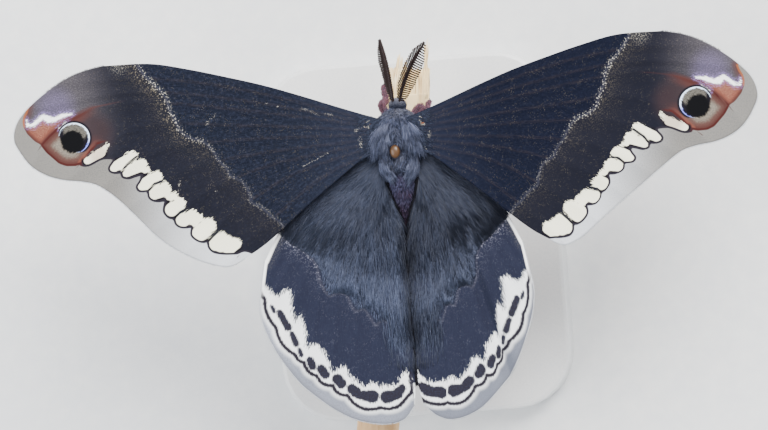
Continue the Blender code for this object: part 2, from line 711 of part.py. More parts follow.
def antenna_line(side):
    """Points along the stem of an antenna, from a gap off the head to its tip."""
    aim = Vector((ANTENNA_AIM.x * SIDES[side], ANTENNA_AIM.y, ANTENNA_AIM.z)).normalized()
    root = HEAD_AT + Vector([aim[i] * (HEAD_HALF[i] + GAP + ANTENNA_RADIUS) for i in range(3)])
    run = ANTENNA_TIP[side] - root
    bow = Vector((0, 0, 1)) - run.normalized() * run.normalized().z
    shares = [i / ANTENNA_STEPS for i in range(ANTENNA_STEPS + 1)]
    return [root + run * t + bow * ANTENNA_BOW * t * (1 - t) for t in shares]


def antenna_stem(side, grow=0.0):
    points = antenna_line(side)
    radii = [ANTENNA_RADIUS * (1 - ANTENNA_TAPER * i / ANTENNA_STEPS) + grow for i in range(len(points))]
    if grow:
        points[0] = points[0] - (points[1] - points[0]).normalized() * grow
    return tube("antenna_" + side, points, radii)


def make_antenna(side):
    line = smooth_line(antenna_line(side), 4)
    barbs = []
    for k in range(BARB_PAIRS):
        for way in (-1, 1):
            share = BARB_FROM + (BARB_TO - BARB_FROM) * (k + 0.25 * way) / (BARB_PAIRS - 1)
            here = at_share(line, share)
            along = (at_share(line, share + 0.03) - at_share(line, share - 0.03)).normalized()
            flat = along.cross(Vector((0, 0, 1))).normalized()
            turn = Matrix.Rotation(ANTENNA_ROLL[side] * SIDES[side], 3, along)
            normal = turn @ flat.cross(along)
            across = (turn @ flat) * way * math.cos(BARB_VEE) + normal * math.sin(BARB_VEE)
            reach = BARB_LENGTH * math.sin(math.pi * (0.16 + 0.74 * share)) ** 0.8
            aim = (across + along * BARB_LEAN).normalized()
            curl = along * reach * BARB_CURL
            spine = [here - aim * BARB_ROOT_SINK, here + aim * reach * 0.4,
                     here + aim * reach * 0.75 + curl * 0.4, here + aim * reach + curl]
            root_thick = BARB_THICK * (1 - 0.35 * share)
            widths = [root_thick, root_thick * 0.85, root_thick * 0.6]
            barbs.append(blade("barb", spine, widths, widths, [normal] * 4))
    return boolean(antenna_stem(side), barbs, "UNION")


def twig_centre_x(y):
    return TWIG_HEAD_X - TWIG_SKEW * (TWIG_HEAD_Y - y)


def twig_centre(y):
    return Vector((twig_centre_x(y), y, -THORAX_OVER_TWIG))


def foot_point(side, y, angle):
    off = TWIG_RADIUS + GAP + FOOT_RADIUS
    return twig_centre(y) + Vector((SIDES[side] * off * math.sin(angle), 0.0, off * math.cos(angle)))


def make_leg(row, side, grow=0.0):
    """A leg from a gap off the thorax down to a foot that bends round the twig."""
    sizes = LEG_ROWS[row]
    sign, shift = SIDES[side], sizes["shift"][side]
    hip, knee = sizes["hip"], sizes["knee"]
    start = thorax_point(Vector((hip.x * sign, hip.y, hip.z)) - THORAX_AT, GAP + LEG_RADIUS)
    bend = Vector((knee.x * sign, knee.y + shift * KNEE_SHARE, knee.z))
    ankle, toe = sizes["ankle"] + shift, sizes["toe"] + shift
    feet = [foot_point(side, ankle, FOOT_ANGLE[0]), foot_point(side, (ankle + toe) / 2, sum(FOOT_ANGLE) / 2),
            foot_point(side, toe, FOOT_ANGLE[1])]
    points = smooth_line([start, bend, *feet], 3)
    shin = len(points) - 6
    radii = [LEG_RADIUS + (FOOT_RADIUS - LEG_RADIUS) * min(1.0, i / shin) + grow for i in range(len(points))]
    if grow:
        points[0] = points[0] - (points[1] - points[0]).normalized() * grow
    return tube(f"leg_{row}_{side}", points, radii, 1)


def make_twig():
    rng = random.Random(3)
    steps = round((TWIG_FRONT - TWIG_REAR) / TWIG_STEP)
    points = [twig_centre(TWIG_REAR + (TWIG_FRONT - TWIG_REAR) * i / steps) for i in range(steps + 1)]
    radii = [TWIG_RADIUS * rng.uniform(TWIG_THINNEST, 1.0) for _ in points]
    twig = tube("perch_twig", points, radii, 2)
    splinters = []
    for x, z, start, end, width, thick, pull in SPLINTERS:
        spine = []
        for share in SPLINTER_STEPS:
            inwards = 1.0 - pull * share**2
            spine.append(twig_centre(start + (end - start) * share) + Vector((x, 0.0, z)) * inwards)
        normal = Vector((x * 0.4, 0.0, 1.0)).normalized()
        widths = [width * k for k in SPLINTER_TAPER]
        thicks = [thick * k for k in SPLINTER_TAPER]
        splinters.append(blade("splinter", spine, widths, thicks, [normal] * len(spine)))
    twig = boolean(twig, splinters, "UNION")
    return boolean(twig, [rod_shape(name, GAP) for name in ROD_ALONG], "DIFFERENCE")


def rod_shape(name, grow=0.0):
    """A rod in the moth's frame, from its socket in the base to its socket in the twig."""
    y = ROD_ALONG[name]
    low = -MOTH_AT.z + BASE_SIZE.z - SOCKET_DEPTH - grow
    high = -THORAX_OVER_TWIG - TWIG_RADIUS + SOCKET_DEPTH + grow
    shape = bmesh.new()
    bmesh.ops.create_cone(shape, cap_ends=True, segments=ROD_SIDES, radius1=(ROD_RADIUS + grow) * MM,
                          radius2=(ROD_RADIUS + grow) * MM, depth=(high - low) * MM)
    middle = Vector((twig_centre_x(y), y, (low + high) / 2))
    bmesh.ops.transform(shape, matrix=Matrix.Translation(middle * MM), verts=shape.verts)
    mesh = bpy.data.meshes.new("stand_rod_" + name)
    shape.to_mesh(mesh)
    shape.free()
    obj = bpy.data.objects.new("stand_rod_" + name, mesh)
    bpy.context.scene.collection.objects.link(obj)
    return obj


def make_base():
    shape = bmesh.new()
    bmesh.ops.create_cube(shape, size=1.0)
    middle = Vector((0.0, 0.0, BASE_SIZE.z / 2)) - MOTH_AT
    size = Matrix.Diagonal((*(BASE_SIZE * MM), 1.0))
    bmesh.ops.transform(shape, matrix=Matrix.Translation(middle * MM) @ size, verts=shape.verts)
    upright = [e for e in shape.edges if abs(e.verts[0].co.z - e.verts[1].co.z) > MM]
    bmesh.ops.bevel(shape, geom=upright, offset=BASE_CORNER * MM, segments=BASE_CORNER_STEPS, profile=0.5,
                    affect="EDGES")
    top = max(v.co.z for v in shape.verts)
    rim = [e for e in shape.edges if all(abs(v.co.z - top) < 1e-6 for v in e.verts)]
    bmesh.ops.bevel(shape, geom=rim, offset=BASE_EDGE * MM, segments=BASE_EDGE_STEPS, profile=0.5,
                    affect="EDGES")
    mesh = bpy.data.meshes.new("stand_base")
    shape.to_mesh(mesh)
    shape.free()
    obj = bpy.data.objects.new("stand_base", mesh)
    bpy.context.scene.collection.objects.link(obj)
    return boolean(obj, [rod_shape(name, GAP) for name in ROD_ALONG], "DIFFERENCE")


def main():
    clear_scene()
    collection = make_collection("promethea_silkmoth")
    moth = bpy.data.objects.new("moth_centre", None)
    moth.location = MOTH_AT * MM
    collection.objects.link(moth)

    coat = make_material("coat", 0.9)
    parts = [(make_thorax(), coat), (make_head(), coat)]
    parts.append((boolean(abdomen_shape(), [thorax_shape(GAP)], "DIFFERENCE"), make_material("abdomen", 0.8)))
    eye, antenna = make_material("eye", 0.15), make_material("antenna", 0.8)
    fore, hind = make_material("wing", 0.85), make_material("hindwing", 0.85)
    leg = make_material("leg", 0.8)
    for side in SIDES:
        parts += [(eye_shape(side), eye), (make_antenna(side), antenna)]
        parts += [(make_leg(row, side), leg) for row in LEG_ROWS]
    parts += [(obj, fore if "fore" in name else hind) for name, obj in make_wings().items()]
    parts.append((make_twig(), make_material("twig", 0.75)))
    parts.append((make_base(), make_material("base", 0.6)))
    rod = make_material("rod", 0.3, 1.0)
    parts += [(rod_shape(name), rod) for name in ROD_ALONG]
    for obj, material in parts:
        obj.data.materials.clear()
        obj.data.materials.append(material)
        for holder in list(obj.users_collection):
            holder.objects.unlink(obj)
        collection.objects.link(obj)
        obj.parent = moth


main()
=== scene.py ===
"""The looks of a life-size male promethea silkmoth: scaled and marked wings, furred body, feathered
antennae, a torn twig and its plain stand on a pale floor. Lengths are millimetres in the moth's own
frame, with its origin in the middle of the thorax, +X its right, +Y its head and +Z up, until a mesh
is made in metres."""

import math

import bpy
import numpy as np
from mathutils import Matrix, Vector


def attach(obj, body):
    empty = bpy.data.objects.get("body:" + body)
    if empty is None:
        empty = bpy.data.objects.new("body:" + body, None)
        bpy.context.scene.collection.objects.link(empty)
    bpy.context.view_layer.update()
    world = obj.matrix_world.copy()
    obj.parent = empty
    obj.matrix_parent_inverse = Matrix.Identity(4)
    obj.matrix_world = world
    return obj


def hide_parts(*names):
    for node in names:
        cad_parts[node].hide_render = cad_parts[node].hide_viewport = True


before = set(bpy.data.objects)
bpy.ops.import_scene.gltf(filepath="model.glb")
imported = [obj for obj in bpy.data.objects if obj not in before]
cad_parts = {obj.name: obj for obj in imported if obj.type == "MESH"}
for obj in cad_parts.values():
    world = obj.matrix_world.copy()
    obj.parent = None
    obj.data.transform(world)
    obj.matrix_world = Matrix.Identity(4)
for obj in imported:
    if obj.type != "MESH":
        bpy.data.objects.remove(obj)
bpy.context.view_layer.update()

MM = 0.001
MOTH_AT = np.array((2.0, 12.0, 25.2))
GAP = 0.3
SIDES = {"left": -1.0, "right": 1.0}

# Body, close to the solids
THORAX_AT = np.array((0.0, -0.4, 0.0))
THORAX_HALF = np.array((2.35, 3.5, 2.2))
HEAD_AT = np.array((0.22, 3.8, -0.3))
HEAD_HALF = np.array((0.78, 0.66, 0.95))
COLLAR_AT = np.array((0.15, 1.5, 0.1))
COLLAR_HALF = np.array((1.9, 1.5, 1.65))
ABDOMEN_RADII = ((-2.6, 1.3), (-4.0, 1.72), (-6.0, 1.85), (-8.5, 1.78), (-11.0, 1.55), (-13.5, 1.1),
                 (-15.2, 0.5), (-15.6, 0.1))
ABDOMEN_DROP = ((-2.6, -0.3), (-5.0, -1.1), (-7.0, -2.0), (-9.0, -2.65), (-12.0, -3.0), (-15.6, -3.1))
ABDOMEN_SEGMENTS = 7
ABDOMEN_FRONT, ABDOMEN_REAR, ABDOMEN_RUN = -2.6, -15.55, 12.6
ABDOMEN_FLAT = 0.9
EYE_AT, EYE_HALF = np.array((0.44, 4.05, -0.8)), np.array((0.34, 0.46, 0.42))
SHIELD_AT = np.array((-0.1, -1.6, 2.5))
SHIELD_HALF = np.array((0.6, 0.78, 0.42))

# Perch and legs, close to the solids
TWIG_DROP = 7.6
TWIG_RADIUS = 2.6
TWIG_FRONT, TWIG_REAR = 7.6, -38.5
TWIG_HEAD_X, TWIG_HEAD_Y, TWIG_SKEW = 0.5, 5.6, 0.172
TWIG_SOLID_END = 5.2
RIM_FIBRES, INNER_FIBRES = 70, 110
# The long splinters: across and up off the twig's middle, start, end, width, pull-in, bluntness
LONG_SPLINTERS = (
    (-2.0, 0.7, 4.6, 8.7, 0.42, 0.0, 8), (-1.1, 1.2, 4.6, 8.5, 0.42, 0.0, 8),
    (-1.55, 0.9, 6.0, 10.3, 0.17, 0.12, 3), (-1.0, 1.2, 6.0, 9.9, 0.16, 0.0, 3),
    (-0.5, 1.3, 5.0, 9.3, 0.24, 0.0, 4), (1.1, 1.2, 4.6, 8.2, 0.5, 0.0, 6),
    (2.1, 0.4, 3.6, 11.8, 0.2, 0.22, 3), (2.3, 0.2, 3.6, 8.3, 0.24, 0.0, 5),
)
FOOT_RADIUS = 0.3
# Each pair of legs: hip and knee, mirrored for the left, the places of ankle and toe along the twig, and
# how far the right leg's knee and foot sit from there
LEG_ROWS = {
    "fore": {"hip": (0.9, 1.6, -1.9), "knee": (2.0, 4.0, -2.6), "ankle": 4.7, "toe": 6.6,
             "right_knee": (0.55, -0.5), "right_shift": -2.3},
    "mid": {"hip": (1.3, -0.4, -2.0), "knee": (4.0, -0.2, -3.1), "ankle": 0.4, "toe": 2.3,
            "right_knee": (0.0, -0.4), "right_shift": -1.2},
    "hind": {"hip": (1.2, -2.0, -1.8), "knee": (3.9, -3.6, -3.3), "ankle": -5.0, "toe": -3.2,
             "right_knee": (0.0, 0.0), "right_shift": 0.0},
}
# Where ankle and toe sit round the twig, out from its top
FOOT_ANGLE = (math.radians(50), math.radians(72))
# A leg's radius at shares of its length, and the small swellings of its foot
LEG_RADII = ((0.0, 0.38), (0.3, 0.38), (0.42, 0.34), (0.7, 0.31), (1.0, 0.25))
FOOT_STARTS, FOOT_SWELL, FOOT_WAVE = 0.66, 0.16, 90.0

# Antennae
ANTENNA_AIM = {"left": np.array((-1.1, 0.75, 0.75)), "right": np.array((0.55, 0.75, 0.75))}
ANTENNA_TIP = {"left": np.array((-0.28, 11.7, 6.3)), "right": np.array((5.0, 10.85, 6.0))}
# How far the middle of each antenna bends to the moth's right
ANTENNA_SWAY = {"left": 0.25, "right": -0.37}
ANTENNA_ROLL = {"left": math.radians(60), "right": math.radians(42)}
ANTENNA_BOW = 1.4
RACHIS_RADIUS = 0.17
SCAPE_RADIUS = 0.27
BARB_PAIRS = 27
BARB_LENGTH = 1.45
BARB_VEE = math.radians(14)
# The barbs of a joint: way out, extra lift, lean towards the tip, share of the length, thickness
BARB_ROWS = {
    "left": ((-1, 0.0, -0.3, 1.2, 0.155), (-1, 0.3, 0.5, 0.62, 0.17), (1, 0.0, 0.9, 0.85, 0.16),
             (1, 0.2, 1.2, 1.0, 0.16)),
    "right": ((1, 0.0, -0.35, 1.0, 0.14), (1, 0.4, -0.2, 0.25, 0.12), (-1, 0.0, 1.4, 1.35, 0.13),
              (-1, 0.4, 1.4, 0.8, 0.12)),
}
# A barb's share of the full length along the antenna
BARB_PROFILE = ((0.0, 0.25), (0.15, 0.7), (0.35, 0.95), (0.62, 1.0), (0.75, 0.86), (0.85, 0.6), (0.93, 0.34),
                (1.0, 0.14))

# Wings: plan outlines of one side, x outwards and y forwards
FORE = {
    "costa": ((2.9, 2.8), (6.5, 4.1), (11.0, 5.8), (15.0, 7.2), (19.3, 8.45), (23.6, 9.6), (28.0, 10.5),
              (33.3, 10.55)),
    "margin": ((33.3, 10.55), (36.0, 9.95), (38.6, 8.8), (41.4, 6.9), (43.6, 4.7), (44.3, 2.6), (43.7, 0.9),
               (42.5, -0.8), (40.9, -1.95), (38.9, -2.65), (36.6, -3.0), (34.6, -3.7), (32.0, -5.8),
               (28.0, -9.8), (25.0, -12.0), (22.4, -13.4), (20.2, -13.95), (18.4, -13.2)),
    "inner": ((18.4, -13.2), (16.4, -12.0), (14.3, -10.4), (10.4, -7.1), (6.0, -3.6), (3.6, -1.85)),
    "root_y": (2.0, -1.0),
    "root_z": 1.45,
    "veins": (
        (0.15, (17.0, 6.7), (28.0, 8.7), (38.6, 8.8)),
        (0.22, (17.3, 5.5), (30.0, 7.2), (42.6, 5.9)),
        (0.28, (17.6, 4.4), (30.0, 6.0), (37.6, 4.7), (42.5, -0.8)),
        (0.40, (17.9, 2.6), (30.0, 2.9), (38.3, -2.75)),
        (0.52, (17.5, 0.9), (27.5, 0.2), (34.4, -3.8)),
        (0.64, (16.3, -0.9), (25.0, -2.5), (31.2, -6.5)),
        (0.74, (14.6, -2.3), (22.6, -5.2), (28.5, -9.3)),
        (0.84, (12.0, -3.5), (19.5, -7.9), (25.0, -12.0)),
        (0.93, (9.0, -4.2), (15.5, -9.3), (20.6, -13.9)),
    ),
}
HIND = {
    "costa": ((2.9, -1.3), (6.0, -2.3), (10.0, -4.8), (13.4, -8.0), (15.4, -10.7), (16.9, -13.4)),
    "margin": ((16.9, -13.4), (17.5, -16.4), (17.95, -19.6), (17.0, -23.1), (14.6, -27.4), (12.0, -30.2),
               (8.6, -32.7), (5.2, -33.8), (2.4, -33.6), (0.8, -31.9)),
    "inner": ((0.8, -31.9), (0.5, -29.0), (0.5, -20.0), (0.45, -12.5), (1.0, -8.7), (2.0, -5.6), (2.2, -3.6)),
    "root_y": (-1.3, -3.0),
    "root_z": -0.05,
    "veins": (
        (0.16, (9.4, -6.0), (15.0, -12.6), (17.6, -16.8)),
        (0.28, (8.9, -7.6), (14.4, -14.6), (17.8, -20.4)),
        (0.38, (8.3, -8.6), (12.9, -16.6), (16.3, -24.4)),
        (0.48, (7.5, -9.4), (10.9, -18.2), (13.6, -28.6)),
        (0.58, (6.4, -10.1), (9.0, -19.6), (10.6, -31.3)),
        (0.68, (5.2, -10.3), (6.8, -20.6), (7.2, -33.2)),
        (0.80, (3.8, -9.8), (4.4, -20.8), (3.9, -33.8)),
    ),
}
HINGE_X = 2.4
FORE_RISE, FORE_DROOP, FORE_REACH, FORE_PITCH = 0.194, 2.2, 42.0, 0.05
FORE_SPAN = {"left": 1.015, "right": 0.985}
FORE_SWEEP = {"left": math.radians(1.3), "right": math.radians(-1.3)}
FORE_HINGE = np.array((2.9, 1.2))
# Painted side light: how much darker a side's forewing ground is painted, as painted shade, which also paints
# its border lighter and cooler further in, as a painted reflection
FORE_PAINTED_SIDE_LIGHT = {"left": 0.0, "right": 0.6}
FORE_BULGE = {"left": 0.4, "right": -1.2}
FORE_BULGE_AT, FORE_BULGE_WAY, FORE_BULGE_RADIUS = np.array((26.5, -10.5)), np.array((0.65, -0.76)), 6.0
HIND_RISE, HIND_PITCH = 0.158, 0.05
HIND_SPAN = {"left": 1.0, "right": 0.805}
HIND_INNER_SHIFT = {"left": 0.0, "right": -0.8}
HIND_SHIFT_FROM, HIND_SHIFT_TO = -9.0, -19.0
PLEAT_LINE = {"left": None, "right": (np.array((5.5, -8.0)), np.array((11.0, -28.6)))}
PLEAT_DEPTH, PLEAT_WIDTH = 1.1, 0.9
WING_ROWS = np.concatenate((np.linspace(0.0, 0.42, 36, endpoint=False), np.linspace(0.42, 1.0, 112)))
COLUMN_STEP = 0.25
WING_THICK, MARGIN_THICK = 0.3, 0.12
VEIN_RISE, VEIN_HALF = 0.06, 0.28
BILLOW = 0.22

# Forewing markings, in the left wing's plan
FORE_LINE = ((29.5, 11.2), (29.3, 10.2), (28.8, 9.4), (27.8, 8.2), (26.8, 7.1), (26.2, 6.0), (26.0, 4.9),
             (25.3, 3.4), (24.9, 2.3), (23.7, 1.4), (22.3, 0.9), (21.3, -0.2), (20.6, -1.5), (19.8, -2.4),
             (19.4, -3.3), (18.2, -4.0), (17.7, -4.7), (17.3, -5.8), (17.2, -6.6), (16.0, -7.3), (15.0, -8.4),
             (14.1, -9.1), (13.0, -10.8))
# Each cream lobe: outer end, inner end, and the radius at each
LOBES = (
    ((35.87, -0.59), (34.24, 0.26), 0.42, 0.5), ((32.84, -1.53), (30.6, -0.3), 0.54, 0.6),
    ((34.24, 0.26), (33.4, 1.15), 0.45, 0.2),
    ((31.42, -2.11), (29.64, -1.42), 0.61, 0.72), ((29.51, -3.79), (28.02, -2.99), 0.69, 0.79),
    ((28.30, -4.79), (27.15, -4.36), 0.69, 0.83), ((26.3, -6.72), (25.43, -6.17), 0.78, 0.77),
    ((25.12, -8.05), (24.05, -7.57), 0.77, 0.71), ((23.16, -9.68), (22.33, -8.99), 0.95, 0.97),
    ((21.48, -11.01), (20.96, -10.48), 0.95, 0.77), ((19.99, -11.61), (19.36, -11.34), 0.9, 0.74),
    ((29.3, -2.1), (28.9, -2.0), 0.3, 0.3), ((26.6, -5.3), (26.0, -5.2), 0.35, 0.45),
    ((23.8, -8.5), (23.2, -7.9), 0.4, 0.45), ((20.9, -11.3), (20.3, -10.9), 0.9, 0.7),
)
# Thin dark seams between the lobes of a pair
SEAMS = (((32.0, -2.2), (31.3, -1.3), (30.1, -0.4)), ((29.0, -4.5), (28.2, -3.7), (27.3, -3.4)),
         ((26.1, -7.8), (25.4, -7.1), (24.7, -6.8)), ((22.4, -10.8), (21.8, -10.2), (21.2, -9.7)))
# The black scalloped line outside the lobes, from the eyespot to the inner edge
FORE_SCALLOP = (
    (36.6, -0.9), (36.5, -1.1), (35.7, -1.1), (34.4, -0.5), (33.6, -0.4), (32.9, -0.5), (32.9, -0.8),
    (33.4, -1.5), (33.3, -2.0), (32.7, -2.2), (32.0, -2.2), (31.9, -2.7), (31.2, -2.9), (30.4, -2.7),
    (29.6, -2.6), (29.9, -3.3), (30.3, -3.9), (30.1, -4.4), (29.5, -4.5), (29.0, -4.5), (28.9, -5.2),
    (28.4, -5.6), (27.6, -5.7), (27.0, -5.5), (27.2, -6.4), (27.2, -7.0), (26.7, -7.6), (26.1, -7.8),
    (25.9, -8.4), (25.4, -8.8), (24.6, -8.9), (24.1, -8.8), (24.2, -9.8), (23.6, -10.5), (22.9, -10.8),
    (22.4, -10.8), (22.3, -11.5), (21.8, -12.1), (20.8, -12.4), (19.8, -12.5), (19.1, -12.5), (18.6, -12.3),
    (18.1, -12.3), (17.2, -12.7),
)
SCALLOP_HALF = 0.13
EYESPOT_AT, EYESPOT_RADIUS = (37.3, 2.2), 1.84
CRESCENT_INNER_AT, CRESCENT_INNER = (37.38, 2.12), 1.74
PUPIL_AT, PUPIL_RADIUS = (37.5, 1.78), 1.38
CELL_OUTER = ((41.1, 1.6), (40.5, 0.7), (39.9, 0.1), (39.2, -0.6), (38.4, -0.95), (37.3, -1.0), (36.6, -0.8))
LOWER_VEIN = ((36.6, -0.8), (35.6, 0.4), (34.7, 1.4), (33.4, 1.7), (32.6, 1.9))
UPPER_VEIN = ((41.1, 1.6), (40.1, 2.6), (38.2, 4.2), (36.9, 4.8), (35.0, 5.7), (31.0, 6.3))
APEX_PATCH = ((43.1, 4.6), (42.8, 3.1), (42.2, 2.4), (41.6, 1.8), (41.1, 1.6), (40.1, 2.6), (38.2, 4.2),
              (36.9, 4.9), (38.6, 5.0), (39.6, 4.6), (40.2, 4.7), (40.7, 5.1), (41.4, 4.6), (42.0, 4.1),
              (42.5, 4.1))
APEX_EDGE = ((43.1, 3.9), (43.15, 4.5), (43.0, 5.1), (42.7, 5.6), (42.5, 6.2))
# The white zigzag of the apex: points and half widths
ZIGZAG = ((42.75, 4.7, 0.1), (42.6, 4.0, 0.2), (42.0, 4.0, 0.24), (41.4, 4.5, 0.26), (40.7, 5.0, 0.3),
          (40.15, 4.6, 0.46), (39.5, 4.5, 0.3), (38.6, 4.9, 0.28), (37.4, 5.1, 0.14))
EYE_DASH = (((37.9, 4.15), (38.9, 3.45), 0.12, 0.16),)
UPPER_TICK = ((41.1, 1.6), (41.6, 0.8))
LOWER_TICK = ((36.6, -0.8), (37.8, -1.7))
TAIL_TICK = ((18.8, -12.4), (19.2, -13.0))
# Corners beyond the wings that close off the outer side of a line across them
FORE_FAR = ((13.0, -20.0), (50.0, -20.0), (50.0, 14.0))
CHAIN_FAR = ((16.0, -20.0), (50.0, -20.0), (50.0, 12.0))
HIND_FAR = ((0.0, -40.0), (24.0, -40.0), (24.0, -8.0))
# The outer end of the chain of marks, from the front edge to the cell of the eyespot
CHAIN_START, CHAIN_JOIN = (42.9, 6.9), ((42.7, 3.0), (41.9, 2.1))
# How far the right wing's markings sit from the left's: place along the row, then inwards and forwards
RIGHT_SHIFT = ((16.0, 1.2, 0.35), (19.0, 1.15, 0.5), (21.8, 0.8, 1.1), (24.7, 0.4, 1.1), (26.4, 0.7, 0.7),
               (28.7, 0.85, 0.35), (31.1, 0.9, 0.3), (34.8, 0.55, 0.26), (37.0, 0.3, 0.2))
# Worn pale scales of the wing roots: ends, half widths
WORN = {
    "left": (((3.1, 2.4), (3.1, 1.5), 0.1, 0.12), ((3.3, 1.6), (3.9, 1.6), 0.08, 0.05),
             ((4.6, 1.3), (4.7, 1.1), 0.2, 0.14), ((4.2, 0.4), (4.2, -0.7), 0.12, 0.16),
             ((7.2, 3.2), (8.3, 3.45), 0.03, 0.02), ((8.9, 3.3), (9.4, 3.6), 0.03, 0.04),
             ((9.9, 3.95), (10.8, 4.2), 0.03, 0.03), ((8.0, -1.2), (11.0, -2.7), 0.01, 0.02),
             ((20.7, 4.1), (21.9, 2.9), 0.05, 0.06), ((25.5, -5.0), (25.2, -3.2), 0.05, 0.02),
             ((13.4, 4.6), (13.6, 4.6), 0.05, 0.05), ((14.7, 5.0), (14.8, 5.0), 0.07, 0.07),
             ((21.1, -5.0), (21.1, -5.05), 0.08, 0.08)),
    "right": (((3.0, 2.3), (3.1, 1.6), 0.1, 0.14), ((3.1, 1.4), (3.7, 1.4), 0.1, 0.05),
              ((4.2, 0.4), (4.1, -0.1), 0.14, 0.18), ((3.5, -1.2), (3.5, -1.4), 0.12, 0.1),
              ((2.9, -1.7), (2.8, -2.1), 0.1, 0.1)),
}
# The bare orange hinge that shows at each forewing's root
HINGE_MARK = {"left": ((3.5, 1.55), (3.0, 1.85), 0.05, 0.1), "right": ((3.0, 1.5), (3.6, 1.55), 0.1, 0.05)}

# Hindwing markings
HIND_LINE = (
    (16.4, -9.0), (14.6, -10.6), (13.9, -11.4), (13.0, -12.1), (11.5, -13.4), (10.8, -14.9), (10.7, -16.3),
    (9.8, -18.1), (9.0, -17.9), (8.2, -17.9), (7.6, -18.4), (7.1, -19.8), (6.7, -20.2), (5.8, -20.0),
    (5.2, -21.0), (4.6, -22.1), (4.1, -21.7), (3.4, -21.6), (2.6, -22.4), (0.2, -23.6),
)
WHITE_LINE = (
    (18.6, -16.2), (17.0, -16.4), (16.4, -17.3), (15.6, -17.6), (14.7, -17.0), (14.2, -17.2), (14.2, -18.9),
    (14.1, -20.9), (13.3, -20.2), (13.0, -21.3), (12.9, -22.2), (12.9, -24.1), (11.9, -23.7), (11.5, -24.1),
    (10.7, -25.0), (10.4, -26.6), (10.0, -27.2), (9.1, -26.7), (8.5, -26.8), (8.1, -27.9), (7.3, -28.6),
    (6.5, -29.3), (5.6, -28.8), (4.8, -29.3), (3.8, -29.3), (2.8, -29.4), (1.9, -28.2), (1.5, -27.7),
    (1.2, -28.2), (0.9, -29.4), (0.0, -30.0),
)
# The cusps of the hindwing's black line, and how far its scallops swell between them, front and back
HIND_CUSPS = ((17.7, -16.4), (17.3, -17.9), (16.3, -21.4), (14.3, -24.8), (13.3, -25.8), (12.0, -27.5),
              (10.2, -28.8), (8.6, -30.1), (4.8, -31.9), (1.6, -30.8), (1.0, -29.6))
SCALLOP_SWELL = (0.11, 0.2)
SWELL_PLACES = (20.0, 28.0)
HIND_SCALLOP_HALF = 0.22
# Painted shade: how much greyer and darker the border of a side's hindwing is painted, at its front and its
# back
HIND_PAINTED_SHADE = {"left": (0.05, 0.58), "right": (0.68, 0.74)}
PAINTED_SHADE_PLACES = (19.0, 27.0)
# How light the hair of each hindwing is, the right one's set lower as painted shade, and what that is times
# at places from its back to its front
HAIR_LEVEL = {"left": 0.58, "right": 0.45}
HAIR_PLACES, HAIR_LIFTS = (-18.0, -13.0, -9.0), (1.3, 1.0, 0.7)
# Each black oval: its two ends and the radius at each
OVALS = (
    ((16.6, -18.8), (16.35, -19.4), 0.2, 0.26), ((15.7, -19.7), (14.9, -21.5), 0.4, 0.46),
    ((14.5, -22.3), (14.1, -23.5), 0.34, 0.4), ((13.75, -24.2), (13.6, -24.9), 0.24, 0.3),
    ((12.6, -25.6), (12.4, -26.3), 0.46, 0.52), ((11.4, -26.7), (11.0, -27.4), 0.54, 0.58),
    ((9.6, -28.1), (9.2, -28.7), 0.66, 0.62), ((8.0, -29.4), (7.6, -29.8), 0.62, 0.7),
    ((7.6, -30.1), (5.7, -30.5), 0.45, 0.8), ((4.0, -30.7), (2.7, -30.5), 0.8, 0.6),
    ((2.6, -30.2), (2.1, -29.8), 0.62, 0.5), ((1.0, -28.1), (0.95, -29.2), 0.2, 0.3),
)
# How far the right hindwing's outer markings sit from the left's: place across, then inwards and forwards
HIND_RIGHT_SHIFT = ((0.0, 1.35, -0.1), (2.0, 1.4, -0.1), (5.5, 1.15, 0.1), (8.9, 0.5, 0.0), (10.8, 0.45, 0.3),
                    (12.6, 1.0, 0.3), (13.6, 0.7, 0.3), (14.9, 0.4, 0.3), (16.2, 0.2, 0.6))
# The same for its inner line, which starts to shift this far in and reaches all of it over this run
LINE_SHIFT = np.array((1.0, 0.2))
LINE_SHIFT_FROM, LINE_SHIFT_RUN = 14.0, 3.5

